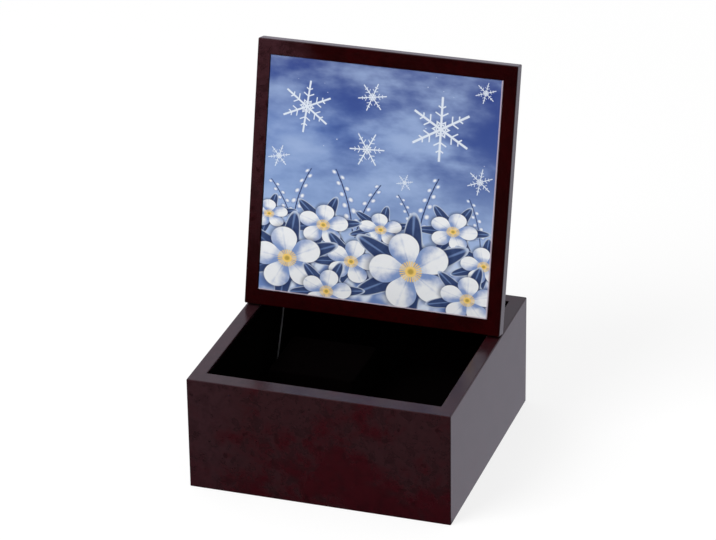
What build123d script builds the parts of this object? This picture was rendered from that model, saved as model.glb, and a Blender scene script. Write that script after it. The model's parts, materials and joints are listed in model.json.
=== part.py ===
from build123d import *
from math import cos, pi, radians, sin, tan
import os

# A wooden music box with a picture tile in its lid. The lid stands open on two hidden stay arms.
# Millimetres. X runs to the right, Y from the front to the rear, Z up. The origin is the centre of
# the case's footprint, on the surface that it stands on.

# Case
CASE_WIDTH = 170.0
CASE_DEPTH = 170.0
CASE_HEIGHT = 75.0
SIDE_WALL = 9.4
FRONT_WALL = 11.4
REAR_WALL = 9.4
EASED_EDGE = 0.8
INNER_EASE = 0.5
MITRE_BEYOND = 0.2

# Floor board in its rebate, and the recess below it that the key turns in
KEY_RECESS = 16.0
BOARD_THICKNESS = 3.0
REBATE = 5.0
BOARD_GAP = 0.2

# Flocked linings
FLOOR_LINING = 1.0
WALL_LINING = 0.8
LINING_BELOW_RIM = 1.5
LINING_GAP = 0.1

# Lid, tile and the pose it stands open in
LID_THICKNESS = 9.3
LID_OVERHANG = 1.15
LID_LEAN = 13.2
SEAT_GAP = 0.2
TILE_SIZE = 152.4
TILE_THICKNESS = 5.0
TILE_GAP = 0.3
TILE_EASE = 0.6
TILE_BELOW_FACE = 0.4
TILE_BED = 0.5
TILE_BED_MARGIN = 2.0
LID_LINING = 0.8
LID_LINING_GAP = 1.5
LID_LINING_CUT = 0.3

# Stay arms and their brackets
PIVOT_BELOW_RIM = 5.0
ARM_WIDTH = 7.0
ARM_THICKNESS = 1.5
ARM_CORNER_GAP = 0.6
ARM_TO_LINING = 3.7
PLATE_THICKNESS = 1.5
LID_PLATE_THICKNESS = 1.2
LID_PLATE_WIDTH = 13.0
LID_PLATE_LENGTH = 26.0
LID_PLATE_FORWARD = 3.0
LID_SCREW_INWARD = 2.8
EAR_TO_ARM = 0.3
PLATE_MARGIN = 0.3
WALL_SCREW_BACK = (7.0, 13.0)
RIVET_RADIUS = 1.5
RIVET_HEAD_RADIUS = 2.6
RIVET_HEAD_HEIGHT = 0.8
RIVET_PLAY = 0.1
RUNNING_FIT = 0.05
STOP_GAP = 0.25
STOP_REACH = 8.0
STOP_LENGTH = 2.7

# Screws: shank radius, shank length, head radius, head height
BOARD_SCREW = (1.0, 9.0, 1.9, 1.2)
WALL_SCREW = (0.9, 7.0, 1.8, 1.0)
LID_SCREW = (0.9, 3.4, 1.8, 1.0)
MOVEMENT_SCREW = (1.1, 5.5, 2.2, 1.4)
COMB_SCREW = (0.9, 4.5, 1.9, 1.3)
SMALL_SCREW = (0.6, 2.2, 1.2, 0.9)
SCREW_FIT = 0.02
SCREW_END_GAP = 0.3
LID_SCREW_END_GAP = 0.1
SCREW_HEAD_TOP = 0.75
SCREWS_FROM_CORNER = 37.4

# Movement: the winding axis is measured from the left wall's and the case's middle
WINDING_FROM_LEFT = 67.0
WINDING_BEHIND_MIDDLE = 23.5
BEDPLATE_THICKNESS = 2.0
BEDPLATE_FOOT = 3.0
BEDPLATE_FOOT_RADIUS = 3.0
FOOT_INSET = 4.5
FOOT_INSET_REAR = 3.6
FOOT_INSET_RIGHT = 8.0
BEDPLATE_CORNER = 3.0
BED_MARGIN_LEFT = 4.0
BED_MARGIN_RIGHT = 1.5
BED_MARGIN_FRONT = 0.6
BED_MARGIN_REAR = 2.8
COMB_BRIDGE_MARGIN = 1.0
ARBOR_RADIUS = 2.0
ARBOR_CORE_RADIUS = 2.8
ARBOR_BELOW_CROWN = 0.5
BOARD_HOLE_RADIUS = 4.0
CLIP_THICKNESS = 0.8
CLIP_RADIUS = 3.4
CLIP_GAP = 0.2
CLIP_SLOT = 2.4
CLIP_SLOT_END = 1.0

# Spring barrel with its crown of teeth
BARREL_RADIUS = 11.0
BARREL_HEIGHT = 8.8
BARREL_WALL = 1.0
BARREL_FLOOR = 1.0
BARREL_LIFT = 0.4
CROWN_RADIUS = 9.7
CROWN_WIDTH = 2.2
CROWN_MARGIN = 0.3
CROWN_TEETH = 48
CROWN_TAPER = 12
CROWN_TOOTH_SHARE = 0.475
SPRING_TURNS = 6
SPRING_STRIP = 0.45
SPRING_FROM_CORE = 0.5
SPRING_FROM_WALL = 0.1
SPRING_PLAY = 0.4

# Gear train
PINION_TEETH = 12
CYLINDER_GEAR_TEETH = 24
FAST_PINION_TEETH = 8
WHEEL_TEETH = 16
GEAR_WIDTH = 1.4
WHEEL_WIDTH = 1.2
FAST_ARBOR_RADIUS = 0.8
TRAIN_CENTRES = 7.0
WORM_CENTRES = 5.5
WORM_RADIUS = 1.5
WORM_ABOVE_AXIS = 6.2
THREAD_TURNS = 4
THREAD_SINK = 0.05
PINION_GAP = 1.0
GEAR_GAP = 0.5
WHEEL_GAPS = (1.2, 1.0)
CYLINDER_GAPS = (0.5, 0.3)
TOOTH_SHARE = 0.38
TOOTH_ROOT_SHARE = 1.4
TOOTH_TIP_SHARE = 0.6
TOOTH_FOOT_SHARE = 0.9
ADDENDUM_SHARE = 0.85
DEDENDUM_SHARE = 1.25

# Pinned cylinder and comb
CYLINDER_RADIUS = 6.5
CYLINDER_LENGTH = 15.4
CYLINDER_WALL = 0.8
SHAFT_RADIUS = 1.0
SHAFT_END = 0.4
COLLAR = 0.3
PIN_HEIGHT = 0.7
PIN_WIDTH = 0.32
PIN_STEPS = 28
COMB_NOTES = 18
COMB_PITCH = 0.84
COMB_SLOT = 0.26
COMB_THICKNESS = 1.2
COMB_ROOT = 7.2
COMB_LONGEST = 11.2
COMB_SHORTEST = 8.6
COMB_CLEARANCE = 0.25

# Brackets, governor and stop wire
BRACKET_THICKNESS = 1.0
BEARING_MARGIN = 2.4
GOVERNOR_WIDTH = 4.0
GOVERNOR_FRONT = 1.6
FAN_GAP = 0.6
FOOT_TAB = 5.0
LEFT_TAB = 2.0
REAR_TAB_BEHIND = 1.0
GOVERNOR_TAB = (5.2, 2.5)
GOVERNOR_TAB_END = 1.8
TAB_WIDTH = 4.8
NARROW_TAB_WIDTH = 3.4
TAB_BEYOND_SCREW = 1.45
FOOT_TAB_THICKNESS = 1.0
PIVOT_RADIUS = 0.55
FAN_RADIUS = 3.6
FAN_HEIGHT = 4.2
FAN_BLADE = 0.4
FAN_HUB_WALL = 0.6
FAN_ABOVE_PLATE = 1.9
WIRE_RADIUS = 0.5
WIRE_FROM_LINING = 6.8
WIRE_LEAN = 24.5
WIRE_ABOVE_RIM = 3.0
WIRE_BEND = 2.0
WIRE_FINGER_BEND = 1.1
WIRE_FINGER = 3.4
WIRE_FINGER_LEAN = 0.5
WIRE_ABOVE_PLATE = 1.5

# Cover over the movement
COVER_WALL = 1.2
COVER_GAP = 1.0
COVER_CORNER = 2.0
COVER_EDGE = 1.0

# Winding key
KEY_LENGTH = 12.5
KEY_WIDTH = 24.0
KEY_WING = 1.8
KEY_HUB_RADIUS = 3.4
KEY_ABOVE_TABLE = 3.0
KEY_ON_ARBOR = 5.6
KEY_HUB_END = 1.5
KEY_WING_HEIGHT = 9.0
KEY_WING_RIM = 2.3
KEY_WEB_HEIGHT = 4.5

os.makedirs("parts", exist_ok=True)

# Places that follow from the sizes above
BOARD_TOP = KEY_RECESS + BOARD_THICKNESS
FLOOR_TOP = BOARD_TOP + FLOOR_LINING
INNER_X = CASE_WIDTH / 2 - SIDE_WALL
INNER_FRONT = -CASE_DEPTH / 2 + FRONT_WALL
INNER_REAR = CASE_DEPTH / 2 - REAR_WALL
INNER_MIDDLE = (INNER_FRONT + INNER_REAR) / 2
INNER_DEPTH = INNER_REAR - INNER_FRONT
LINED_X = INNER_X - WALL_LINING
LINING_TOP = CASE_HEIGHT - LINING_BELOW_RIM
OPEN_ANGLE = radians(90 - LID_LEAN)
MIN_Z = (Align.CENTER, Align.CENTER, Align.MIN)
MAX_Z = (Align.CENTER, Align.CENTER, Align.MAX)

# The lid's linkage. Each arm turns about a pivot in a rear corner of the case, and carries a pivot
# under the lid, so the lid's lower edge runs back along the side walls while its other edge rises.
# LID_REACH is the length that sets how far the lower edge travels.
LID_LENGTH = CASE_DEPTH + 2 * LID_OVERHANG
PIVOT_Y = INNER_REAR - WALL_LINING - ARM_CORNER_GAP - ARM_WIDTH / 2
PIVOT_Z = CASE_HEIGHT - PIVOT_BELOW_RIM
LID_PIVOT_DEPTH = PIVOT_BELOW_RIM + SEAT_GAP
LID_REACH = PIVOT_Y + LID_LENGTH / 2
LID_PIVOT_SHORT = (LID_PIVOT_DEPTH - LID_PIVOT_DEPTH * cos(OPEN_ANGLE)) / sin(OPEN_ANGLE)
ARM_LENGTH = (LID_REACH + LID_PIVOT_SHORT) / 2
LID_PIVOT_UP = ARM_LENGTH - LID_PIVOT_SHORT
ARM_Y = -cos(OPEN_ANGLE)
ARM_Z = sin(OPEN_ANGLE)
LID_EDGE_Y = PIVOT_Y - LID_REACH * cos(OPEN_ANGLE) - LID_PIVOT_DEPTH * sin(OPEN_ANGLE)
LID_EDGE_Z = CASE_HEIGHT + SEAT_GAP
ARM_X = LINED_X - ARM_TO_LINING - ARM_THICKNESS

# The lid's underside: X to the right, Y up the lid from its lower edge, Z out of the picture face
LID_BACK = Plane(
    origin=(0, LID_EDGE_Y, LID_EDGE_Z),
    x_dir=(1, 0, 0),
    z_dir=(0, -sin(OPEN_ANGLE), cos(OPEN_ANGLE)),
)

# The movement's heights and its stations along the cylinder's axis, from the winding axis
WINDING_X = -CASE_WIDTH / 2 + WINDING_FROM_LEFT
WINDING_Y = WINDING_BEHIND_MIDDLE
PLATE_BOTTOM = BOARD_TOP + BEDPLATE_FOOT
PLATE_TOP = PLATE_BOTTOM + BEDPLATE_THICKNESS
CROWN_MODULE = 2 * CROWN_RADIUS / CROWN_TEETH
BARREL_BOTTOM = PLATE_TOP + BARREL_LIFT
CROWN_FACE = BARREL_BOTTOM + BARREL_HEIGHT
CROWN_PITCH_Z = CROWN_FACE + DEDENDUM_SHARE * CROWN_MODULE
CROWN_TOOTH_HEIGHT = (ADDENDUM_SHARE + DEDENDUM_SHARE) * CROWN_MODULE
CROWN_TOOTH = CROWN_TOOTH_SHARE * pi * CROWN_MODULE
AXIS_Z = CROWN_PITCH_Z + PINION_TEETH * CROWN_MODULE / 2
PINION_LEFT = WINDING_X - CROWN_RADIUS - CROWN_WIDTH / 2
MIDDLE_BRACKET_X = PINION_LEFT - PINION_GAP - BRACKET_THICKNESS
CYLINDER_RIGHT = MIDDLE_BRACKET_X - CYLINDER_GAPS[1]
CYLINDER_LEFT = CYLINDER_RIGHT - CYLINDER_LENGTH
REAR_BRACKET_X = CYLINDER_LEFT - CYLINDER_GAPS[0] - BRACKET_THICKNESS
GEAR_X = REAR_BRACKET_X - GEAR_GAP - GEAR_WIDTH
WHEEL_X = GEAR_X - WHEEL_GAPS[1] - WHEEL_WIDTH
LEFT_BRACKET_X = WHEEL_X - WHEEL_GAPS[0] - BRACKET_THICKNESS
FAST_Y = WINDING_Y + TRAIN_CENTRES
WORM_X = WHEEL_X + WHEEL_WIDTH / 2
WORM_Y = FAST_Y + WORM_CENTRES
TRAIN_MODULE = 2 * TRAIN_CENTRES / (CYLINDER_GEAR_TEETH + FAST_PINION_TEETH)
WHEEL_MODULE = 2 * (WORM_CENTRES - WORM_RADIUS) / WHEEL_TEETH
WORM_LEAD = pi * WHEEL_MODULE
FAN_BOTTOM = PLATE_TOP + FAN_ABOVE_PLATE
WORM_TOP = AXIS_Z + WORM_ABOVE_AXIS
COMB_TIP_Y = WINDING_Y - CYLINDER_RADIUS - PIN_HEIGHT - COMB_CLEARANCE
COMB_BOTTOM = AXIS_Z - COMB_THICKNESS / 2
COMB_MIDDLE_X = (CYLINDER_LEFT + CYLINDER_RIGHT) / 2
COMB_WIDTH = COMB_NOTES * COMB_PITCH
COMB_ROOT_REAR = COMB_TIP_Y - COMB_LONGEST
BED_LEFT = LEFT_BRACKET_X - BED_MARGIN_LEFT
BED_RIGHT = WINDING_X + BARREL_RADIUS + BED_MARGIN_RIGHT
BED_FRONT = COMB_ROOT_REAR - COMB_ROOT - BED_MARGIN_FRONT
BED_REAR = WORM_Y + FAN_RADIUS + BED_MARGIN_REAR
BED_CENTRE = ((BED_LEFT + BED_RIGHT) / 2, (BED_FRONT + BED_REAR) / 2)
COVER_X = (BED_LEFT - COVER_GAP, BED_RIGHT + COVER_GAP)
COVER_Y = (BED_FRONT - COVER_GAP, BED_REAR + COVER_GAP)
COVER_CENTRE = ((COVER_X[0] + COVER_X[1]) / 2, (COVER_Y[0] + COVER_Y[1]) / 2)
COVER_SIZE = (COVER_X[1] - COVER_X[0], COVER_Y[1] - COVER_Y[0])
CYLINDER_TOP = AXIS_Z + CYLINDER_RADIUS + PIN_HEIGHT
COVER_INNER_TOP = max(CYLINDER_TOP, WORM_TOP + BRACKET_THICKNESS) + COVER_GAP
WIRE_X = -LINED_X + WIRE_FROM_LINING
WIRE_PIVOT_Z = PLATE_TOP + WIRE_ABOVE_PLATE


def save(part, label):
    """Labels a finished piece and writes it under its name."""
    part.label = label
    export_step(part, f"parts/{label}.step")


def level(x, y, z):
    """A plane that faces up."""
    return Plane(origin=(x, y, z), x_dir=(1, 0, 0), z_dir=(0, 0, 1))


def below(x, y, z):
    """A plane that faces down."""
    return Plane(origin=(x, y, z), x_dir=(1, 0, 0), z_dir=(0, 0, -1))


def across(x, y=0.0, z=0.0):
    """A plane that faces +X, with its own X along Y and its own Y along Z."""
    return Plane(origin=(x, y, z), x_dir=(0, 1, 0), z_dir=(1, 0, 0))


def bore(plane, radius, depth):
    """Cuts a round hole that starts at the plane and runs against its normal."""
    with Locations(plane):
        Cylinder(radius, depth, align=MAX_Z, mode=Mode.SUBTRACT)


def screw(seat, size):
    """Adds one screw whose head rests on the seat plane and whose shank runs against its normal."""
    shank_radius, length, head_radius, head_height = size
    with Locations(seat):
        Cone(head_radius, head_radius * SCREW_HEAD_TOP, head_height, align=MIN_Z)
        Cylinder(shank_radius, length, align=MAX_Z)


def screw_group(seats, size, label):
    """Makes one node with a screw at every seat."""
    with BuildPart() as screws:
        for seat in seats:
            screw(seat, size)
    save(screws.part, label)


# The screws that hold the floor board up to the walls, at the middle of the rebate's ledge
LEDGE = REBATE / 2
SCREW_ALONG = CASE_WIDTH / 2 - SCREWS_FROM_CORNER
board_screw_spots = [
    *[(x, INNER_FRONT - LEDGE) for x in (-SCREW_ALONG, SCREW_ALONG)],
    *[(x, INNER_REAR + LEDGE) for x in (-SCREW_ALONG, SCREW_ALONG)],
    *[(side * (INNER_X + LEDGE), y) for side in (-1, 1) for y in (-SCREW_ALONG, SCREW_ALONG)],
]
board_screw_seats = [below(x, y, KEY_RECESS) for x, y in board_screw_spots]

# The wall brackets' screws, seated on the plates' inner faces
PLATE_INNER_X = LINED_X - PLATE_THICKNESS
PLATE_HALF_HEIGHT = ARM_WIDTH / 2 + PLATE_MARGIN


def wall_screw_seats(side):
    """Seat planes of one wall bracket's screws. They face the middle of the case."""
    places = [(side * PLATE_INNER_X, PIVOT_Y - back, PIVOT_Z) for back in WALL_SCREW_BACK]
    return [Plane(origin=place, x_dir=(0, 1, 0), z_dir=(-side, 0, 0)) for place in places]


def case_ring(ring):
    """Adds the hollow case to the ring: block, eased edges, opening and the floor board's rebate."""
    Box(CASE_WIDTH, CASE_DEPTH, CASE_HEIGHT, align=MIN_Z)
    outline = ring.faces().sort_by(Axis.Z)[-1].edges() + ring.edges().filter_by(Axis.Z)
    fillet(outline, EASED_EDGE)
    with Locations((0, INNER_MIDDLE, 0)):
        Box(2 * INNER_X, INNER_DEPTH, CASE_HEIGHT, align=MIN_Z, mode=Mode.SUBTRACT)
    opening = ring.faces().sort_by(Axis.Z)[-1].inner_wires()[0]
    fillet(opening.edges(), INNER_EASE)
    with Locations((0, INNER_MIDDLE, 0)):
        rebate_size = (2 * (INNER_X + REBATE), INNER_DEPTH + 2 * REBATE)
        Box(*rebate_size, BOARD_TOP, align=MIN_Z, mode=Mode.SUBTRACT)


def mitre_point(side_x, side_y, reach):
    """A point on a corner's mitre line: reach 0 is the outer corner and reach 1 the inner one."""
    wall_y = FRONT_WALL if side_y < 0 else REAR_WALL
    return (side_x * (CASE_WIDTH / 2 - reach * SIDE_WALL), side_y * (CASE_DEPTH / 2 - reach * wall_y))


def case_wall(start, end, label):
    """Cuts one wall out of the ring, between the mitre lines of two corners, and drills it."""
    with BuildPart() as wall:
        case_ring(wall)
        with BuildSketch():
            outside = [mitre_point(*start, -MITRE_BEYOND), mitre_point(*end, -MITRE_BEYOND)]
            inside = [mitre_point(*end, 1 + MITRE_BEYOND), mitre_point(*start, 1 + MITRE_BEYOND)]
            Polygon(*outside, *inside, align=None)
        extrude(amount=CASE_HEIGHT, mode=Mode.INTERSECT)
        for seat in board_screw_seats:
            bore(seat.offset(-BOARD_THICKNESS), BOARD_SCREW[0] + SCREW_FIT, BOARD_SCREW[1])
        for side in (-1, 1):
            for seat in wall_screw_seats(side):
                bore(seat, WALL_SCREW[0] + SCREW_FIT, WALL_SCREW[1] + SCREW_END_GAP)
    save(wall.part, label)


corners = {"front_left": (-1, -1), "front_right": (1, -1), "rear_right": (1, 1), "rear_left": (-1, 1)}
case_wall(corners["front_left"], corners["front_right"], "front_wall")
case_wall(corners["front_right"], corners["rear_right"], "right_wall")
case_wall(corners["rear_right"], corners["rear_left"], "rear_wall")
case_wall(corners["rear_left"], corners["front_left"], "left_wall")

# Three threaded feet carry the bedplate, and a screw enters each from below the floor board
movement_feet = [
    (BED_LEFT + FOOT_INSET, BED_FRONT + FOOT_INSET),
    (BED_LEFT + FOOT_INSET, BED_REAR - FOOT_INSET_REAR),
    (BED_RIGHT - FOOT_INSET, BED_FRONT + FOOT_INSET_RIGHT),
]
movement_screw_seats = [below(x, y, KEY_RECESS) for x, y in movement_feet]

# Floor board, screwed up against the walls' ledge
with BuildPart() as base_board:
    with BuildSketch(Plane.XY.offset(KEY_RECESS)):
        with Locations((0, INNER_MIDDLE)):
            Rectangle(2 * (INNER_X + REBATE - BOARD_GAP), INNER_DEPTH + 2 * (REBATE - BOARD_GAP))
        with Locations((WINDING_X, WINDING_Y)):
            Circle(BOARD_HOLE_RADIUS, mode=Mode.SUBTRACT)
        with Locations(*board_screw_spots):
            Circle(BOARD_SCREW[0] + SCREW_FIT, mode=Mode.SUBTRACT)
        with Locations(*movement_feet):
            Circle(MOVEMENT_SCREW[0] + SCREW_FIT, mode=Mode.SUBTRACT)
    extrude(amount=BOARD_THICKNESS)
save(base_board.part, "base_board")
screw_group(board_screw_seats, BOARD_SCREW, "base_screws")

# Floor lining, cut out round the movement's cover
with BuildPart() as floor_lining:
    with BuildSketch(Plane.XY.offset(BOARD_TOP)):
        with Locations((0, INNER_MIDDLE)):
            Rectangle(2 * (INNER_X - LINING_GAP), INNER_DEPTH - 2 * LINING_GAP)
        with Locations(COVER_CENTRE):
            cut_size = [size + 2 * (COVER_WALL + LINING_GAP) for size in COVER_SIZE]
            RectangleRounded(*cut_size, COVER_CORNER + COVER_WALL + LINING_GAP, mode=Mode.SUBTRACT)
    extrude(amount=FLOOR_LINING)
save(floor_lining.part, "floor_lining")


def wall_lining(centre, size, label):
    """Makes one flocked card that stands on the floor lining against a wall."""
    with BuildPart() as lining:
        with BuildSketch(Plane.XY.offset(FLOOR_TOP)):
            with Locations(centre):
                Rectangle(*size)
        extrude(amount=LINING_TOP - FLOOR_TOP)
        for side in (-1, 1):
            for seat in wall_screw_seats(side):
                bore(seat, WALL_SCREW[0] + SCREW_FIT, WALL_SCREW[1])
    save(lining.part, label)


FACING_WIDTH = 2 * (INNER_X - LINING_GAP)
SIDE_LINING_DEPTH = INNER_DEPTH - 2 * (WALL_LINING + LINING_GAP)
wall_lining((0, INNER_FRONT + WALL_LINING / 2), (FACING_WIDTH, WALL_LINING), "front_lining")
wall_lining((0, INNER_REAR - WALL_LINING / 2), (FACING_WIDTH, WALL_LINING), "rear_lining")
wall_lining((INNER_X - WALL_LINING / 2, INNER_MIDDLE), (WALL_LINING, SIDE_LINING_DEPTH), "right_lining")
wall_lining((WALL_LINING / 2 - INNER_X, INNER_MIDDLE), (WALL_LINING, SIDE_LINING_DEPTH), "left_lining")

# Wall brackets: a rounded plate on each side wall, near the rear corner
PLATE_LENGTH = WALL_SCREW_BACK[1] + 2 * PLATE_HALF_HEIGHT


def wall_bracket(side, label):
    """Makes the plate that holds one arm's pivot and two screws."""
    face = across(side * LINED_X, PIVOT_Y, PIVOT_Z)
    with BuildPart() as bracket:
        with BuildSketch(face):
            with Locations((-WALL_SCREW_BACK[1] / 2, 0)):
                SlotOverall(PLATE_LENGTH, 2 * PLATE_HALF_HEIGHT)
            Circle(RIVET_RADIUS + SCREW_FIT, mode=Mode.SUBTRACT)
            with Locations(*[(-back, 0) for back in WALL_SCREW_BACK]):
                Circle(WALL_SCREW[0] + SCREW_FIT, mode=Mode.SUBTRACT)
        extrude(amount=-side * PLATE_THICKNESS)
    save(bracket.part, label)


wall_bracket(-1, "left_wall_bracket")
wall_bracket(1, "right_wall_bracket")
screw_group(wall_screw_seats(-1) + wall_screw_seats(1), WALL_SCREW, "wall_bracket_screws")


def stay_arm(side, label):
    """Makes one flat arm with round ends, from the wall pivot to the lid pivot."""
    along = Plane(origin=(side * ARM_X, PIVOT_Y, PIVOT_Z), x_dir=(0, ARM_Y, ARM_Z), z_dir=(1, 0, 0))
    with BuildPart() as arm:
        with BuildSketch(along):
            with Locations((ARM_LENGTH / 2, 0)):
                SlotCenterToCenter(ARM_LENGTH, ARM_WIDTH)
            with Locations((0, 0), (ARM_LENGTH, 0)):
                Circle(RIVET_RADIUS + RUNNING_FIT, mode=Mode.SUBTRACT)
        extrude(amount=side * ARM_THICKNESS)
    save(arm.part, label)


stay_arm(-1, "left_stay_arm")
stay_arm(1, "right_stay_arm")


def shouldered_rivet(side, y, z, stages):
    """Adds a rivet along X. Each stage is its start and end distance from the middle and its radius."""
    for start, end, radius in stages:
        with Locations(Plane(origin=(side * start, y, z), x_dir=(0, 1, 0), z_dir=(side, 0, 0))):
            Cylinder(radius, end - start, align=MIN_Z)


ARM_OUTER_X = ARM_X + ARM_THICKNESS
INNER_HEAD = (ARM_X - RIVET_PLAY - RIVET_HEAD_HEIGHT, ARM_X - RIVET_PLAY, RIVET_HEAD_RADIUS)

# The rivets that the arms turn on at the case, each with a shoulder between its plate and its arm
with BuildPart() as case_rivets:
    for side in (-1, 1):
        shank = (ARM_X - RIVET_PLAY, LINED_X, RIVET_RADIUS)
        shoulder = (ARM_OUTER_X + RIVET_PLAY, PLATE_INNER_X, RIVET_HEAD_RADIUS)
        shouldered_rivet(side, PIVOT_Y, PIVOT_Z, [INNER_HEAD, shank, shoulder])
save(case_rivets.part, "case_rivets")

# Lid board: a rounded slab with a square place for the tile
LID_MIDDLE = LID_LENGTH / 2
TILE_RECESS = TILE_BELOW_FACE + TILE_THICKNESS + TILE_BED
LID_PLATE_OUTER_X = ARM_OUTER_X + EAR_TO_ARM + PLATE_THICKNESS
LID_PLATE_MIDDLE_X = LID_PLATE_OUTER_X - LID_PLATE_WIDTH / 2
LID_PLATE_MIDDLE_Y = LID_PIVOT_UP - LID_PLATE_FORWARD
lid_screw_spots = [
    (side * (LID_PLATE_MIDDLE_X - LID_SCREW_INWARD), LID_PLATE_MIDDLE_Y + step)
    for side in (-1, 1)
    for step in (-LID_PLATE_LENGTH / 3, LID_PLATE_LENGTH / 3)
]
LID_PLATE_FACE = LID_BACK.offset(-LID_PLATE_THICKNESS)
lid_screw_seats = [
    Plane(origin=LID_PLATE_FACE.from_local_coords((x, y, 0)), x_dir=(1, 0, 0), z_dir=-LID_BACK.z_dir)
    for x, y in lid_screw_spots
]
with BuildPart() as lid_board:
    with BuildSketch(LID_BACK):
        with Locations((0, LID_MIDDLE)):
            Rectangle(CASE_WIDTH, LID_LENGTH)
    extrude(amount=LID_THICKNESS)
    fillet(lid_board.edges(), EASED_EDGE)
    with BuildSketch(LID_BACK.offset(LID_THICKNESS - TILE_RECESS)):
        with Locations((0, LID_MIDDLE)):
            Rectangle(TILE_SIZE + 2 * TILE_GAP, TILE_SIZE + 2 * TILE_GAP)
    extrude(amount=TILE_RECESS, mode=Mode.SUBTRACT)
    for seat in lid_screw_seats:
        bore(seat, LID_SCREW[0] + SCREW_FIT, LID_SCREW[1] + LID_SCREW_END_GAP)
save(lid_board.part, "lid_board")

# Glue bed and picture tile
with BuildPart() as tile_bed:
    with BuildSketch(LID_BACK.offset(LID_THICKNESS - TILE_RECESS)):
        with Locations((0, LID_MIDDLE)):
            Rectangle(TILE_SIZE - 2 * TILE_BED_MARGIN, TILE_SIZE - 2 * TILE_BED_MARGIN)
    extrude(amount=TILE_BED)
save(tile_bed.part, "tile_bed")

with BuildPart() as picture_tile:
    with BuildSketch(LID_BACK.offset(LID_THICKNESS - TILE_RECESS + TILE_BED)):
        with Locations((0, LID_MIDDLE)):
            Rectangle(TILE_SIZE, TILE_SIZE)
    extrude(amount=TILE_THICKNESS)
    tile_face = picture_tile.faces().sort_by(Axis(LID_BACK.origin, LID_BACK.z_dir))[-1]
    fillet(tile_face.edges(), TILE_EASE)
save(picture_tile.part, "picture_tile")

# Lining on the lid's underside, inside the walls when the lid is shut, cut out for the brackets
LINING_FROM_FRONT = FRONT_WALL + WALL_LINING + LID_OVERHANG + LID_LINING_GAP
LINING_FROM_REAR = REAR_WALL + WALL_LINING + LID_OVERHANG + LID_LINING_GAP
with BuildPart() as lid_lining:
    with BuildSketch(LID_BACK):
        lining_length = LID_LENGTH - LINING_FROM_FRONT - LINING_FROM_REAR
        with Locations((0, LINING_FROM_FRONT + lining_length / 2)):
            Rectangle(2 * (LINED_X - LID_LINING_GAP), lining_length)
        with Locations(*[(side * LID_PLATE_MIDDLE_X, LID_PLATE_MIDDLE_Y) for side in (-1, 1)]):
            cut_size = (LID_PLATE_WIDTH + 2 * LID_LINING_CUT, LID_PLATE_LENGTH + 2 * LID_LINING_CUT)
            Rectangle(*cut_size, mode=Mode.SUBTRACT)
    extrude(amount=-LID_LINING)
save(lid_lining.part, "lid_lining")


def lid_bracket(side, label):
    """Makes a folded bracket: base plate, ear with the pivot hole, and a stop for the arm."""
    ear_x = side * (LID_PLATE_OUTER_X - PLATE_THICKNESS)
    foot = LID_BACK.from_local_coords((ear_x, LID_PIVOT_UP, 0))
    ear_plane = Plane(origin=foot, x_dir=LID_BACK.y_dir, z_dir=(1, 0, 0))
    arm_dir = Vector(cos(2 * OPEN_ANGLE), -sin(2 * OPEN_ANGLE))
    arm_front = Vector(arm_dir.Y, -arm_dir.X)
    edge_start = Vector(0, -LID_PIVOT_DEPTH) + arm_front * (ARM_WIDTH / 2 + STOP_GAP)
    stop_near = edge_start + arm_dir * STOP_REACH
    stop_far = edge_start + arm_dir * (STOP_REACH + STOP_LENGTH)
    stop_outline = [(stop_far.X, 0), (stop_near.X, 0), (stop_near.X, stop_near.Y), (stop_far.X, stop_far.Y)]
    with BuildPart() as bracket:
        with BuildSketch(LID_BACK):
            with Locations((side * LID_PLATE_MIDDLE_X, LID_PLATE_MIDDLE_Y)):
                Rectangle(LID_PLATE_WIDTH, LID_PLATE_LENGTH)
        extrude(amount=-LID_PLATE_THICKNESS)
        with BuildSketch(ear_plane):
            with Locations((0, -LID_PIVOT_DEPTH)):
                Circle(ARM_WIDTH / 2)
            with Locations((0, -LID_PLATE_THICKNESS / 2)):
                Rectangle(2 * ARM_WIDTH, LID_PLATE_THICKNESS)
            make_hull()
            with Locations((0, -LID_PIVOT_DEPTH)):
                Circle(RIVET_RADIUS + SCREW_FIT, mode=Mode.SUBTRACT)
        extrude(amount=side * PLATE_THICKNESS)
        for reach in (PLATE_THICKNESS, -EAR_TO_ARM - ARM_THICKNESS):
            with BuildSketch(ear_plane):
                Polygon(*stop_outline, align=None)
            extrude(amount=side * reach)
        for seat in lid_screw_seats:
            bore(seat, LID_SCREW[0] + SCREW_FIT, LID_PLATE_THICKNESS)
    save(bracket.part, label)


lid_bracket(-1, "left_lid_bracket")
lid_bracket(1, "right_lid_bracket")
screw_group(lid_screw_seats, LID_SCREW, "lid_bracket_screws")

# The rivets that join the arms to the lid brackets
LID_PIVOT_Y = PIVOT_Y + ARM_LENGTH * ARM_Y
LID_PIVOT_Z = PIVOT_Z + ARM_LENGTH * ARM_Z
with BuildPart() as lid_rivets:
    for side in (-1, 1):
        shank = (ARM_X - RIVET_PLAY, LID_PLATE_OUTER_X, RIVET_RADIUS)
        outer_head = (LID_PLATE_OUTER_X, LID_PLATE_OUTER_X + RIVET_HEAD_HEIGHT, RIVET_HEAD_RADIUS)
        shouldered_rivet(side, LID_PIVOT_Y, LID_PIVOT_Z, [INNER_HEAD, shank, outer_head])
save(lid_rivets.part, "lid_rivets")

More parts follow.
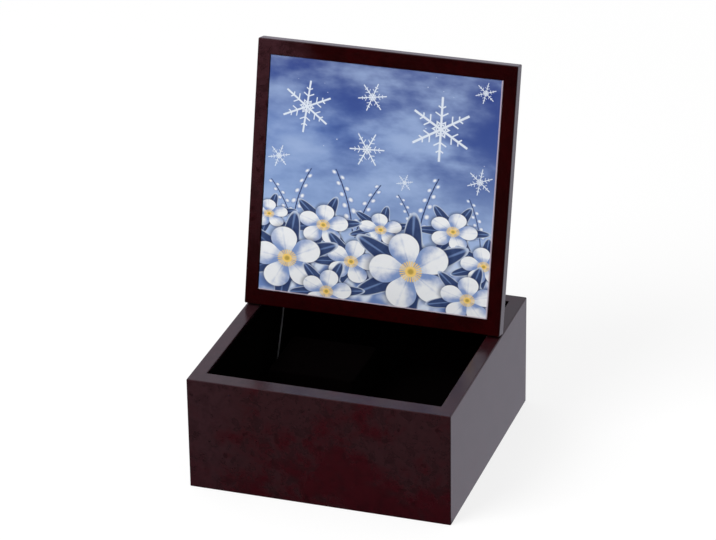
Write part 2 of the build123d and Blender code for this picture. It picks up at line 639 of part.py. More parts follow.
# Bedplate: a cast plate on three threaded feet, with the bridge that carries the comb
COMB_BRIDGE_Y = COMB_ROOT_REAR - COMB_ROOT / 2
comb_screw_spots = [(COMB_MIDDLE_X + side * COMB_WIDTH / 4, COMB_BRIDGE_Y) for side in (-1, 1)]
comb_screw_seats = [level(x, y, COMB_BOTTOM + COMB_THICKNESS) for x, y in comb_screw_spots]
middle_tab = (MIDDLE_BRACKET_X + BRACKET_THICKNESS - FOOT_TAB, WINDING_Y)
rear_tab = (REAR_BRACKET_X + FOOT_TAB, FAST_Y + REAR_TAB_BEHIND)
left_tab = (LEFT_BRACKET_X - LEFT_TAB, WINDING_Y)
governor_tab = (WORM_X + GOVERNOR_TAB[0], WORM_Y + GOVERNOR_TAB[1])
tab_spots = [middle_tab, rear_tab, left_tab, governor_tab]
TAB_TOP = PLATE_TOP + FOOT_TAB_THICKNESS
small_screw_seats = [level(x, y, TAB_TOP) for x, y in tab_spots]

with BuildPart() as bedplate:
    with BuildSketch(Plane.XY.offset(PLATE_BOTTOM)):
        with Locations(BED_CENTRE):
            RectangleRounded(BED_RIGHT - BED_LEFT, BED_REAR - BED_FRONT, BEDPLATE_CORNER)
    extrude(amount=BEDPLATE_THICKNESS)
    with BuildSketch(Plane.XY.offset(BOARD_TOP)):
        with Locations(*movement_feet):
            Circle(BEDPLATE_FOOT_RADIUS)
    extrude(amount=BEDPLATE_FOOT)
    with BuildSketch(Plane.XY.offset(PLATE_TOP)):
        with Locations((COMB_MIDDLE_X, COMB_BRIDGE_Y)):
            RectangleRounded(COMB_WIDTH + 2 * COMB_BRIDGE_MARGIN, COMB_ROOT, COMB_BRIDGE_MARGIN)
    extrude(amount=COMB_BOTTOM - PLATE_TOP)
    with BuildSketch(Plane.XY.offset(PLATE_BOTTOM)):
        with Locations((WINDING_X, WINDING_Y)):
            Circle(ARBOR_RADIUS + RUNNING_FIT)
    extrude(amount=BEDPLATE_THICKNESS, mode=Mode.SUBTRACT)
    for seat in movement_screw_seats:
        bore(seat, MOVEMENT_SCREW[0] + SCREW_FIT, MOVEMENT_SCREW[1] + SCREW_END_GAP)
    for seat in comb_screw_seats:
        bore(seat, COMB_SCREW[0] + SCREW_FIT, COMB_SCREW[1] + SCREW_END_GAP)
    for seat in small_screw_seats:
        bore(seat, SMALL_SCREW[0] + SCREW_FIT, SMALL_SCREW[1] + SCREW_END_GAP)
save(bedplate.part, "bedplate")
screw_group(movement_screw_seats, MOVEMENT_SCREW, "movement_screws")
screw_group(comb_screw_seats, COMB_SCREW, "comb_screws")
screw_group(small_screw_seats, SMALL_SCREW, "bracket_screws")

# Comb: one steel plate, slotted into teeth that get shorter towards the treble end
with BuildPart() as comb:
    with BuildSketch(Plane.XY.offset(COMB_BOTTOM)):
        comb_length = COMB_LONGEST + COMB_ROOT
        with Locations((COMB_MIDDLE_X, COMB_TIP_Y - comb_length / 2)):
            Rectangle(COMB_WIDTH, comb_length)
        for slot in range(1, COMB_NOTES):
            share = slot / COMB_NOTES
            slot_length = COMB_LONGEST + (COMB_SHORTEST - COMB_LONGEST) * share
            slot_x = COMB_MIDDLE_X - COMB_WIDTH / 2 + slot * COMB_PITCH
            with Locations((slot_x, COMB_TIP_Y - slot_length / 2)):
                Rectangle(COMB_SLOT, slot_length, mode=Mode.SUBTRACT)
        with Locations(*comb_screw_spots):
            Circle(COMB_SCREW[0] + SCREW_FIT, mode=Mode.SUBTRACT)
    extrude(amount=COMB_THICKNESS)
save(comb.part, "comb")

# Spring barrel: a drum that turns on the arbor, with a crown of teeth on its upper rim
with BuildPart() as spring_barrel:
    with Locations((WINDING_X, WINDING_Y, BARREL_BOTTOM)):
        Cylinder(BARREL_RADIUS, BARREL_HEIGHT, align=MIN_Z)
        Cylinder(ARBOR_RADIUS + RUNNING_FIT, BARREL_FLOOR, align=MIN_Z, mode=Mode.SUBTRACT)
    with Locations((WINDING_X, WINDING_Y, BARREL_BOTTOM + BARREL_FLOOR)):
        cavity_height = BARREL_HEIGHT - 2 * BARREL_FLOOR
        Cylinder(BARREL_RADIUS - BARREL_WALL, cavity_height, align=MIN_Z, mode=Mode.SUBTRACT)
        mouth_radius = CROWN_RADIUS - CROWN_WIDTH / 2 - CROWN_MARGIN
        Cylinder(mouth_radius, BARREL_HEIGHT, align=MIN_Z, mode=Mode.SUBTRACT)
    with BuildSketch(Plane.XY.offset(CROWN_FACE)):
        with Locations((WINDING_X, WINDING_Y)):
            with PolarLocations(CROWN_RADIUS, CROWN_TEETH, start_angle=180 / CROWN_TEETH):
                Rectangle(CROWN_WIDTH, CROWN_TOOTH)
    extrude(amount=CROWN_TOOTH_HEIGHT, taper=CROWN_TAPER)
save(spring_barrel.part, "spring_barrel")

# Mainspring: a flat spiral strip between the arbor's core and the drum's wall, in half-turn arcs
SPRING_INNER = ARBOR_CORE_RADIUS + SPRING_FROM_CORE
SPRING_OUTER = BARREL_RADIUS - BARREL_WALL - SPRING_STRIP / 2 - SPRING_FROM_WALL
SPRING_PITCH = (SPRING_OUTER - SPRING_INNER) / SPRING_TURNS
SPRING_HEIGHT = BARREL_HEIGHT - 2 * BARREL_FLOOR - 2 * SPRING_PLAY
SPRING_BOTTOM = BARREL_BOTTOM + BARREL_FLOOR + SPRING_PLAY
STRIP_SIDES = (-SPRING_STRIP / 2, SPRING_STRIP / 2)
with BuildPart() as mainspring:
    with BuildSketch(level(WINDING_X, WINDING_Y, SPRING_BOTTOM)):
        with BuildLine():
            for half_turn in range(2 * SPRING_TURNS):
                lower = half_turn % 2
                arc_centre = ((lower - 0.5) * SPRING_PITCH / 2, 0)
                arc_radius = SPRING_INNER + SPRING_PITCH / 4 + half_turn * SPRING_PITCH / 2
                for side in STRIP_SIDES:
                    CenterArc(arc_centre, arc_radius + side, 180 * lower, 180)
            for end in (SPRING_INNER, SPRING_OUTER):
                Line(*[(end + side, 0) for side in STRIP_SIDES])
        make_face()
    extrude(amount=SPRING_HEIGHT)
save(mainspring.part, "mainspring")

# Winding arbor: from the key's hub through the floor board and the bedplate into the barrel
KEY_TOP = KEY_ABOVE_TABLE + KEY_LENGTH
ARBOR_BOTTOM = KEY_TOP - KEY_ON_ARBOR
CORE_BOTTOM = BARREL_BOTTOM + BARREL_FLOOR + CLIP_GAP
ARBOR_TOP = CROWN_FACE - ARBOR_BELOW_CROWN
CLIP_TOP = PLATE_BOTTOM - CLIP_GAP
with BuildPart() as winding_arbor:
    with Locations((WINDING_X, WINDING_Y, ARBOR_BOTTOM)):
        Cylinder(ARBOR_RADIUS, ARBOR_TOP - ARBOR_BOTTOM, align=MIN_Z)
    with Locations((WINDING_X, WINDING_Y, CORE_BOTTOM)):
        Cylinder(ARBOR_CORE_RADIUS, ARBOR_TOP - CORE_BOTTOM, align=MIN_Z)
save(winding_arbor.part, "winding_arbor")

with BuildPart() as retaining_clip:
    with BuildSketch(Plane.XY.offset(CLIP_TOP - CLIP_THICKNESS)):
        with Locations((WINDING_X, WINDING_Y)):
            Circle(CLIP_RADIUS)
            Circle(ARBOR_RADIUS + SCREW_FIT, mode=Mode.SUBTRACT)
        with Locations((WINDING_X, WINDING_Y - CLIP_RADIUS)):
            Rectangle(CLIP_SLOT, 2 * CLIP_RADIUS - CLIP_SLOT_END, mode=Mode.SUBTRACT)
    extrude(amount=CLIP_THICKNESS)
save(retaining_clip.part, "retaining_clip")

# Winding key: a hub with two pierced wings
with BuildPart() as winding_key:
    with Locations((WINDING_X, WINDING_Y, ARBOR_BOTTOM - KEY_HUB_END)):
        Cylinder(KEY_HUB_RADIUS, KEY_ON_ARBOR + KEY_HUB_END, align=MIN_Z)
    wing_plane = Plane(origin=(WINDING_X, WINDING_Y, KEY_ABOVE_TABLE), x_dir=(1, 0, 0), z_dir=(0, -1, 0))
    wing_width, wing_height = KEY_WIDTH / 4, KEY_WING_HEIGHT / 2
    with BuildSketch(wing_plane):
        for side in (-1, 1):
            with Locations((side * wing_width, wing_height)):
                Ellipse(wing_width, wing_height)
                Ellipse(wing_width - KEY_WING_RIM, wing_height - KEY_WING_RIM, mode=Mode.SUBTRACT)
        with Locations((0, wing_height)):
            Rectangle(2 * KEY_HUB_RADIUS, KEY_WEB_HEIGHT)
    extrude(amount=KEY_WING / 2, both=True)
    with Locations((WINDING_X, WINDING_Y, ARBOR_BOTTOM)):
        Cylinder(ARBOR_RADIUS + SCREW_FIT, KEY_LENGTH, align=MIN_Z, mode=Mode.SUBTRACT)
save(winding_key.part, "winding_key")


def tooth_outline(foot, tip, pitch):
    """The four corners of a straight-flanked tooth that points along X from its foot to its tip."""
    half = TOOTH_SHARE * pitch / 2
    root_half, tip_half = half * TOOTH_ROOT_SHARE, half * TOOTH_TIP_SHARE
    return [(foot, -root_half), (tip, -tip_half), (tip, tip_half), (foot, root_half)]


def toothed_disc(teeth, module, start_angle=0.0):
    """Draws a gear's outline in the current sketch: a root disc and straight-flanked teeth."""
    pitch_radius = teeth * module / 2
    root_radius = pitch_radius - DEDENDUM_SHARE * module
    tip_radius = pitch_radius + ADDENDUM_SHARE * module
    Circle(root_radius)
    with PolarLocations(0, teeth, start_angle=start_angle):
        Polygon(*tooth_outline(root_radius * TOOTH_FOOT_SHARE, tip_radius, pi * module), align=None)


def gear(x, y, width, teeth, module, hole, start_angle, label):
    """Makes one gear on an axis along X."""
    with BuildPart() as wheel:
        with BuildSketch(across(x, y, AXIS_Z)):
            toothed_disc(teeth, module, start_angle)
            Circle(hole + SCREW_FIT, mode=Mode.SUBTRACT)
        extrude(amount=width)
    save(wheel.part, label)


gear(PINION_LEFT, WINDING_Y, CROWN_WIDTH, PINION_TEETH, CROWN_MODULE, SHAFT_RADIUS, 0, "crown_pinion")
gear(GEAR_X, WINDING_Y, GEAR_WIDTH, CYLINDER_GEAR_TEETH, TRAIN_MODULE, SHAFT_RADIUS, 0, "cylinder_gear")
gear(WHEEL_X, FAST_Y, WHEEL_WIDTH, WHEEL_TEETH, WHEEL_MODULE, FAST_ARBOR_RADIUS, 0, "worm_wheel")

# Cylinder arbor: runs in two brackets, and carries the gear, the cylinder and the crown pinion
with BuildPart() as cylinder_arbor:
    with BuildSketch(across(GEAR_X - SHAFT_END, WINDING_Y, AXIS_Z)):
        Circle(SHAFT_RADIUS)
    extrude(amount=PINION_LEFT + CROWN_WIDTH - GEAR_X + 2 * SHAFT_END)
    with BuildSketch(across(LEFT_BRACKET_X, WINDING_Y, AXIS_Z)):
        Circle(PIVOT_RADIUS)
    extrude(amount=GEAR_X - LEFT_BRACKET_X)
save(cylinder_arbor.part, "cylinder_arbor")

# Pinned cylinder: a brass tube with end discs, and pins in one row for each note
with BuildPart() as pinned_cylinder:
    with BuildSketch(across(CYLINDER_LEFT, WINDING_Y, AXIS_Z)):
        Circle(CYLINDER_RADIUS)
        Circle(SHAFT_RADIUS + SCREW_FIT, mode=Mode.SUBTRACT)
    extrude(amount=CYLINDER_LENGTH)
    with BuildSketch(across(CYLINDER_LEFT + CYLINDER_WALL, WINDING_Y, AXIS_Z)):
        Circle(CYLINDER_RADIUS - CYLINDER_WALL)
        Circle(SHAFT_RADIUS + CYLINDER_WALL, mode=Mode.SUBTRACT)
    extrude(amount=CYLINDER_LENGTH - 2 * CYLINDER_WALL, mode=Mode.SUBTRACT)
    for note in range(COMB_NOTES):
        pin_x = COMB_MIDDLE_X + (note + 0.5 - COMB_NOTES / 2) * COMB_PITCH
        for beat in range(2 + note % 3):
            angle = 360 * ((note * 5 + beat * 11) % PIN_STEPS + 0.5) / PIN_STEPS
            outwards = (0, cos(radians(angle)), sin(radians(angle)))
            pin_plane = Plane(origin=(pin_x, WINDING_Y, AXIS_Z), x_dir=(1, 0, 0), z_dir=outwards)
            with Locations(pin_plane.offset(CYLINDER_RADIUS - CYLINDER_WALL / 2)):
                Box(PIN_WIDTH, PIN_WIDTH, PIN_HEIGHT + CYLINDER_WALL / 2, align=MIN_Z)
save(pinned_cylinder.part, "pinned_cylinder")

# Intermediate arbor, cut in one with its pinion
with BuildPart() as intermediate_arbor:
    with BuildSketch(across(GEAR_X - SHAFT_END / 2, FAST_Y, AXIS_Z)):
        toothed_disc(FAST_PINION_TEETH, TRAIN_MODULE, 180 / FAST_PINION_TEETH)
    extrude(amount=GEAR_WIDTH + SHAFT_END)
    with BuildSketch(across(WHEEL_X - COLLAR, FAST_Y, AXIS_Z)):
        Circle(FAST_ARBOR_RADIUS)
    extrude(amount=GEAR_X - WHEEL_X + COLLAR + SHAFT_END / 2)
    with BuildSketch(across(LEFT_BRACKET_X, FAST_Y, AXIS_Z)):
        Circle(PIVOT_RADIUS)
    extrude(amount=REAR_BRACKET_X + BRACKET_THICKNESS - LEFT_BRACKET_X)
save(intermediate_arbor.part, "intermediate_arbor")


def upright(x, y_low, y_high, top, holes, tab, tab_size, label):
    """Makes an angle bracket: a plate across X with bearing holes, and a foot tab with a screw hole."""
    with BuildPart() as bracket:
        with BuildSketch(across(x)):
            with Locations(((y_low + y_high) / 2, (PLATE_TOP + top) / 2)):
                Rectangle(y_high - y_low, top - PLATE_TOP)
            for y, z, radius in holes:
                with Locations((y, z)):
                    Circle(radius + RUNNING_FIT, mode=Mode.SUBTRACT)
        extrude(amount=BRACKET_THICKNESS)
        with BuildSketch(Plane.XY.offset(PLATE_TOP)):
            near_x = x if tab[0] < x else x + BRACKET_THICKNESS
            tab_reach = (tab[0] - near_x) * TAB_BEYOND_SCREW
            with Locations((near_x + tab_reach / 2, tab[1])):
                Rectangle(abs(tab_reach), tab_size)
            with Locations(tab):
                Circle(SMALL_SCREW[0] + SCREW_FIT, mode=Mode.SUBTRACT)
        extrude(amount=FOOT_TAB_THICKNESS)
    save(bracket.part, label)


BRACKET_TOP = AXIS_Z + BEARING_MARGIN
upright(
    MIDDLE_BRACKET_X, WINDING_Y - BEARING_MARGIN, WINDING_Y + BEARING_MARGIN, BRACKET_TOP,
    [(WINDING_Y, AXIS_Z, SHAFT_RADIUS)], middle_tab, TAB_WIDTH, "middle_bearing_bracket",
)
upright(
    REAR_BRACKET_X, FAST_Y - GOVERNOR_FRONT, FAST_Y + BEARING_MARGIN, BRACKET_TOP,
    [(FAST_Y, AXIS_Z, PIVOT_RADIUS)], rear_tab, NARROW_TAB_WIDTH, "rear_bearing_bracket",
)
upright(
    LEFT_BRACKET_X, WINDING_Y - BEARING_MARGIN, FAST_Y + BEARING_MARGIN, BRACKET_TOP,
    [(WINDING_Y, AXIS_Z, PIVOT_RADIUS), (FAST_Y, AXIS_Z, PIVOT_RADIUS), (FAST_Y, WIRE_PIVOT_Z, WIRE_RADIUS)],
    left_tab, TAB_WIDTH, "left_bearing_bracket",
)

# Governor bracket: a strap behind the worm, with a bearing above and below it
GOVERNOR_BACK = WORM_Y + FAN_RADIUS + FAN_GAP
GOVERNOR_OUTER = GOVERNOR_BACK + BRACKET_THICKNESS
GOVERNOR_TOP = WORM_TOP + BRACKET_THICKNESS
with BuildPart() as governor_bracket:
    with BuildSketch(across(WORM_X)):
        with BuildLine():
            Polyline(
                (WORM_Y - GOVERNOR_FRONT, PLATE_TOP),
                (GOVERNOR_OUTER, PLATE_TOP),
                (GOVERNOR_OUTER, GOVERNOR_TOP),
                (WORM_Y - GOVERNOR_FRONT, GOVERNOR_TOP),
                (WORM_Y - GOVERNOR_FRONT, WORM_TOP),
                (GOVERNOR_BACK, WORM_TOP),
                (GOVERNOR_BACK, TAB_TOP),
                (WORM_Y - GOVERNOR_FRONT, TAB_TOP),
                close=True,
            )
        make_face()
    extrude(amount=GOVERNOR_WIDTH / 2, both=True)
    with BuildSketch(Plane.XY.offset(PLATE_TOP)):
        governor_tab_end = governor_tab[0] + GOVERNOR_TAB_END
        with Locations(((WORM_X + governor_tab_end) / 2, governor_tab[1])):
            Rectangle(governor_tab_end - WORM_X, NARROW_TAB_WIDTH)
        with Locations(governor_tab):
            Circle(SMALL_SCREW[0] + SCREW_FIT, mode=Mode.SUBTRACT)
    extrude(amount=FOOT_TAB_THICKNESS)
    with Locations((WORM_X, WORM_Y, PLATE_TOP)):
        Cylinder(PIVOT_RADIUS + RUNNING_FIT, GOVERNOR_TOP - PLATE_TOP, align=MIN_Z, mode=Mode.SUBTRACT)
save(governor_bracket.part, "governor_bracket")

# Governor worm: a shaft with a single-start screw thread that the worm wheel drives
THREAD_ROOT = WORM_RADIUS - DEDENDUM_SHARE * WHEEL_MODULE
THREAD_TIP = WORM_RADIUS + ADDENDUM_SHARE * WHEEL_MODULE
THREAD_LENGTH = THREAD_TURNS * WORM_LEAD
THREAD_BOTTOM = AXIS_Z - THREAD_LENGTH / 2 - WORM_LEAD / 4
THREAD_FOOT = THREAD_ROOT - THREAD_SINK
with BuildPart() as governor_worm:
    with Locations((WORM_X, WORM_Y, PLATE_TOP)):
        Cylinder(PIVOT_RADIUS, GOVERNOR_TOP - PLATE_TOP, align=MIN_Z)
    with Locations((WORM_X, WORM_Y, TAB_TOP + COLLAR)):
        Cylinder(THREAD_ROOT, WORM_TOP - TAB_TOP - 2 * COLLAR, align=MIN_Z)
    with BuildLine():
        thread_path = Helix(WORM_LEAD, THREAD_LENGTH, THREAD_FOOT, center=(WORM_X, WORM_Y, THREAD_BOTTOM))
    thread_start = Plane(origin=thread_path @ 0, x_dir=(1, 0, 0), z_dir=thread_path % 0)
    with BuildSketch(thread_start):
        Polygon(*tooth_outline(0, THREAD_TIP - THREAD_FOOT, WORM_LEAD), align=None)
    sweep(path=thread_path, is_frenet=True)
save(governor_worm.part, "governor_worm")

# Governor fan: a hub with two blades that beat the air
with BuildPart() as governor_fan:
    with BuildSketch(Plane.XY.offset(FAN_BOTTOM)):
        with Locations((WORM_X, WORM_Y)):
            Circle(THREAD_ROOT + FAN_HUB_WALL)
            Rectangle(2 * FAN_RADIUS, FAN_BLADE)
            Circle(THREAD_ROOT + SCREW_FIT, mode=Mode.SUBTRACT)
    extrude(amount=FAN_HEIGHT)
save(governor_fan.part, "governor_fan")

# Stop wire: one bent steel wire. Its long arm reaches above the rim beside the left wall, and its
# short finger stands next to the fan. It turns in the left bracket, on its straight middle run.
WIRE_TIP_Z = CASE_HEIGHT + WIRE_ABOVE_RIM
WIRE_TIP_Y = FAST_Y + (WIRE_TIP_Z - WIRE_PIVOT_Z) * tan(radians(WIRE_LEAN))
with BuildPart() as stop_wire:
    with BuildLine() as wire_path:
        FilletPolyline(
            (WIRE_X, WIRE_TIP_Y, WIRE_TIP_Z),
            (WIRE_X, FAST_Y, WIRE_PIVOT_Z),
            (WORM_X, FAST_Y, WIRE_PIVOT_Z),
            (WORM_X, FAST_Y + WIRE_FINGER_LEAN, WIRE_PIVOT_Z + WIRE_FINGER),
            radius=[WIRE_BEND, WIRE_FINGER_BEND],
        )
    with BuildSketch(Plane(origin=wire_path.line @ 0, z_dir=wire_path.line % 0)):
        Circle(WIRE_RADIUS)
    sweep(path=wire_path.line)
save(stop_wire.part, "stop_wire")

# Cover over the movement: a thin shell that stands on the floor board
with BuildPart() as movement_cover:
    with BuildSketch(Plane.XY.offset(BOARD_TOP)):
        with Locations(COVER_CENTRE):
            RectangleRounded(*[size + 2 * COVER_WALL for size in COVER_SIZE], COVER_CORNER + COVER_WALL)
    extrude(amount=COVER_INNER_TOP + COVER_WALL - BOARD_TOP)
    fillet(movement_cover.faces().sort_by(Axis.Z)[-1].edges(), COVER_EDGE)
    with BuildSketch(Plane.XY.offset(BOARD_TOP)):
        with Locations(COVER_CENTRE):
            RectangleRounded(*COVER_SIZE, COVER_CORNER)
    extrude(amount=COVER_INNER_TOP - BOARD_TOP, mode=Mode.SUBTRACT)
    bore(across(COVER_X[0], FAST_Y, WIRE_PIVOT_Z), 2 * WIRE_RADIUS, COVER_WALL)
save(movement_cover.part, "movement_cover")
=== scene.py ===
# %% [markdown]
# This lesson dresses a wooden music box whose lid carries a picture tile. The lid stands open on
# two hidden stay arms. The solids come from a packed CAD model, so every piece already has its
# true place and size, in metres: X to the right, Y from the front to the rear, and Z up. What is
# left for Blender is the look: lacquered burl veneer, black flock, a glazed picture, and metals.

# %% Load the packed model
import json
from math import cos, pi, radians, sin

import bpy
from mathutils import Matrix, Vector

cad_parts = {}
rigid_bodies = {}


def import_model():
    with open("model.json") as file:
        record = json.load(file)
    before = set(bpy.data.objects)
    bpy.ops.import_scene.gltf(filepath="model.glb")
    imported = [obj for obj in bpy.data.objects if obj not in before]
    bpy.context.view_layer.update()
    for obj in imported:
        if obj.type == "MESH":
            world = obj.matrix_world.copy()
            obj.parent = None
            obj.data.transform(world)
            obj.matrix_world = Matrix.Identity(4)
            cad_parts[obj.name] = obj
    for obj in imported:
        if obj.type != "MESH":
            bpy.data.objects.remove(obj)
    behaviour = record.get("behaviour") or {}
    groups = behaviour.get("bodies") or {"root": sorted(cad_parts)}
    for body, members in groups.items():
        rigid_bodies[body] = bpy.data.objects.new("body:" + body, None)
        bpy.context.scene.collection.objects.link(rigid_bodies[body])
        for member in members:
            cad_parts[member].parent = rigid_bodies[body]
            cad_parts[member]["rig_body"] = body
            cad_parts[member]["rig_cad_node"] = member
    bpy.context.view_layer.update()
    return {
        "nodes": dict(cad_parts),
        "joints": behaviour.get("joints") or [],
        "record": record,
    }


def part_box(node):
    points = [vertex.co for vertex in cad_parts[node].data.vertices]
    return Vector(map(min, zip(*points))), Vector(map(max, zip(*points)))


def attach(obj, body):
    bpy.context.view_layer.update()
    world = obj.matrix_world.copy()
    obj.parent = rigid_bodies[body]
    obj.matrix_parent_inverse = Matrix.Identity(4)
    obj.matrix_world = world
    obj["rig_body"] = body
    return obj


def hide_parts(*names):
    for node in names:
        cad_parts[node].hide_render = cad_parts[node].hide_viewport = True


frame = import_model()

nodes = frame["nodes"]
print("nodes in the model:", len(nodes))

# %% [markdown]
# A product photographer stands well back and uses a long lens, which keeps the box's edges almost
# parallel. The camera is built from its turn, its tilt and its roll. The three directions of its
# frame fill the columns of a matrix, because typed angles would hide which way it looks.

# %% Camera
CAMERA_PLACE = Vector((0.6119, -1.8307, 1.0582))
CAMERA_TURN = radians(18.505)
CAMERA_TILT = radians(25.874)
CAMERA_ROLL = radians(-0.817)
CAMERA_LENS = 173.05
CAMERA_SEES_TO = 30

look = Vector((
    -sin(CAMERA_TURN) * cos(CAMERA_TILT),
    cos(CAMERA_TURN) * cos(CAMERA_TILT),
    -sin(CAMERA_TILT),
))
level_right = Vector((cos(CAMERA_TURN), sin(CAMERA_TURN), 0))
level_up = level_right.cross(look)
right = level_right * cos(CAMERA_ROLL) + level_up * sin(CAMERA_ROLL)
up = level_up * cos(CAMERA_ROLL) - level_right * sin(CAMERA_ROLL)

bpy.ops.object.camera_add()
camera = bpy.context.object
camera.name = "camera"
camera.matrix_world = Matrix.Translation(CAMERA_PLACE) @ Matrix((right, up, -look)).transposed().to_4x4()
camera.data.lens = CAMERA_LENS
camera.data.clip_end = CAMERA_SEES_TO
bpy.context.scene.camera = camera
bpy.context.scene.view_settings.view_transform = "Standard"
print("the camera stands", round(CAMERA_PLACE.length, 2), "m from the box")

# %% [markdown]
# Materials are node trees. Wired by hand, a formula of ten terms is ten nodes and a tangle of
# lines. A small class that wraps one socket lets the same formula be written as Python: an
# operator on a socket adds the Math node that it stands for.

# %% Shader sockets as Python values
class Wire:
    """One output socket. Arithmetic on it adds Math nodes."""

    def __init__(self, paint, socket):
        self.paint = paint
        self.socket = socket

    def math(self, operation, *values):
        return self.paint.node("ShaderNodeMath", {"operation": operation}, values)

    def __add__(self, other):
        return self.math("ADD", self, other)

    def __sub__(self, other):
        return self.math("SUBTRACT", self, other)

    def __rsub__(self, other):
        return self.math("SUBTRACT", other, self)

    def __mul__(self, other):
        return self.math("MULTIPLY", self, other)

    def __truediv__(self, other):
        return self.math("DIVIDE", self, other)

    def __pow__(self, other):
        return self.math("POWER", self, other)

    __radd__ = __add__
    __rmul__ = __mul__

    def size(self):
        return self.math("ABSOLUTE", self)

    def sign(self):
        return self.math("SIGN", self)

    def sine(self):
        return self.math("SINE", self)

    def cosine(self):
        return self.math("COSINE", self)

    def larger(self, other):
        return self.math("MAXIMUM", self, other)

    def smaller(self, other):
        return self.math("MINIMUM", self, other)

    def part(self):
        """What is left after the whole number, so a count becomes a sawtooth."""
        return self.math("FRACT", self)

    def above(self, edge, soft):
        """0 below the edge and 1 above it, with a soft step of that width."""
        limits = {"Value": self, "From Min": edge - soft / 2, "From Max": edge + soft / 2}
        return self.paint.node("ShaderNodeMapRange", {"interpolation_type": "SMOOTHSTEP"}, limits)

    def under(self, edge, soft):
        return 1 - self.above(edge, soft)


print("a wire's named operations:", ", ".join(name for name in vars(Wire) if not name.startswith("_")))

# %% [markdown]
# The other half of that idea is the tree itself. One method adds any node: its settings first, then
# the values or links of its sockets. The rest are short names for the few nodes that every finish
# uses, such as noise, cells, a blend of two colours, and a bump.

# %% A tree that is filled one node at a time
class Paint:
    """A node tree. Each method adds a node and gives back its output."""

    def __init__(self, tree):
        self.tree = tree
        tree.nodes.clear()

    def node(self, kind, settings=None, values=(), output=0):
        """Adds a node. Settings come first, then the values or links of its sockets."""
        made = self.tree.nodes.new(kind)
        for name, setting in (settings or {}).items():
            if name == "stops":
                self.fill_ramp(made.color_ramp, setting)
            else:
                setattr(made, name, setting)
        pairs = values.items() if isinstance(values, dict) else enumerate(values)
        for key, value in pairs:
            if isinstance(value, Wire):
                self.tree.links.new(value.socket, made.inputs[key])
            else:
                made.inputs[key].default_value = value
        return Wire(self, made.outputs[output]) if made.outputs else None

    def fill_ramp(self, ramp, stops):
        while len(ramp.elements) < len(stops):
            ramp.elements.new(0.5)
        for element, (position, colour) in zip(ramp.elements, stops):
            element.position = position
            element.color = colour

    def place(self):
        """The point on the piece, in metres. It moves with the piece."""
        return self.node("ShaderNodeTexCoord", output="Object")

    def parts(self, vector):
        """The three numbers of a vector."""
        split = self.node("ShaderNodeSeparateXYZ", None, [vector]).socket.node
        return [Wire(self, socket) for socket in split.outputs]

    def vector(self, operation, *values, output=0):
        return self.node("ShaderNodeVectorMath", {"operation": operation}, values, output)

    def along(self, vector, direction):
        """How far a point lies along a direction."""
        return self.vector("DOT_PRODUCT", vector, direction, output="Value")

    def stretched(self, vector, x, y, z):
        return self.vector("MULTIPLY", vector, (x, y, z))

    def noise(self, vector, scale, detail=2.0, roughness=0.5, distortion=0.0, output=0):
        values = {"Vector": vector, "Scale": scale, "Detail": detail, "Roughness": roughness}
        values["Distortion"] = distortion
        return self.node("ShaderNodeTexNoise", None, values, output)

    def cells(self, vector, scale, feature="F1", output=0):
        values = {"Vector": vector, "Scale": scale}
        return self.node("ShaderNodeTexVoronoi", {"feature": feature}, values, output)

    def warped(self, vector, scale, reach):
        """The point, pushed about by a slow noise, so that straight patterns swirl."""
        push = self.noise(vector, scale, detail=1.0, output=1)
        centred = self.vector("SUBTRACT", push, (0.5, 0.5, 0.5))
        return self.vector("MULTIPLY_ADD", centred, (reach, reach, reach), vector)

    def blend(self, first, second, share):
        """A colour between two colours."""
        settings = {"data_type": "RGBA", "clamp_result": False}
        return self.node("ShaderNodeMix", settings, {0: share, 6: first, 7: second}, output=2)

    def bump(self, height, depth, strength):
        values = {"Height": height, "Distance": depth, "Strength": strength}
        return self.node("ShaderNodeBump", None, values)

    def ray(self, kind):
        """1 for a ray of that kind, and 0 for the others."""
        return self.node("ShaderNodeLightPath", output=kind)

    def either(self, share, first, second):
        """The first shader where the share is 0, and the second where it is 1."""
        return self.node("ShaderNodeMixShader", None, [share, first, second])


def blank_tree(owner):
    """Switches the nodes of a material or a world on, and hands over its empty tree."""
    owner.use_nodes = True
    return Paint(owner.node_tree)


print("a tree's methods:", ", ".join(name for name in vars(Paint) if not name.startswith("_")))

# %% [markdown]
# Colours are easiest to read off a screen, from 0 to 255, while shaders reckon in linear light. One
# function turns the first into the second. Another makes a finish: it hands a fresh tree to the
# function that dresses it, and puts what comes back on the sockets of one Principled shader.

# %% Colours and finishes
def rgb(red, green, blue):
    """A screen colour from 0 to 255 as the linear colour that shaders use."""
    channels = [value / 255 for value in (red, green, blue)]
    linear = [c / 12.92 if c <= 0.04045 else ((c + 0.055) / 1.055) ** 2.4 for c in channels]
    return (*linear, 1.0)


def grey(level):
    """A linear grey. A level of 1 is white."""
    return (level, level, level, 1.0)


finishes = {}


def finish(name, dress):
    """Makes a material: the function adds its nodes and gives back the shader's sockets."""
    material = bpy.data.materials.new(name)
    paint = blank_tree(material)
    surface = paint.node("ShaderNodeBsdfPrincipled", None, dress(paint))
    paint.node("ShaderNodeOutputMaterial", None, [surface])
    finishes[name] = material
    print("finish", name, "has", len(paint.tree.nodes), "nodes")


print("a mid grey of 128 is", round(rgb(128, 128, 128)[0], 3), "in linear light")

# %% [markdown]
# The studio is a white tent over a pale floor. Gloss lacquer is a dark mirror, so what it shows is
# the room: white behind and above, darker on the side where the photographer stands. Many small
# lamps could build that room. A world that grows lighter towards the rear does it at once, at one
# level as light and at another in reflections, and it is plain white where the camera looks.

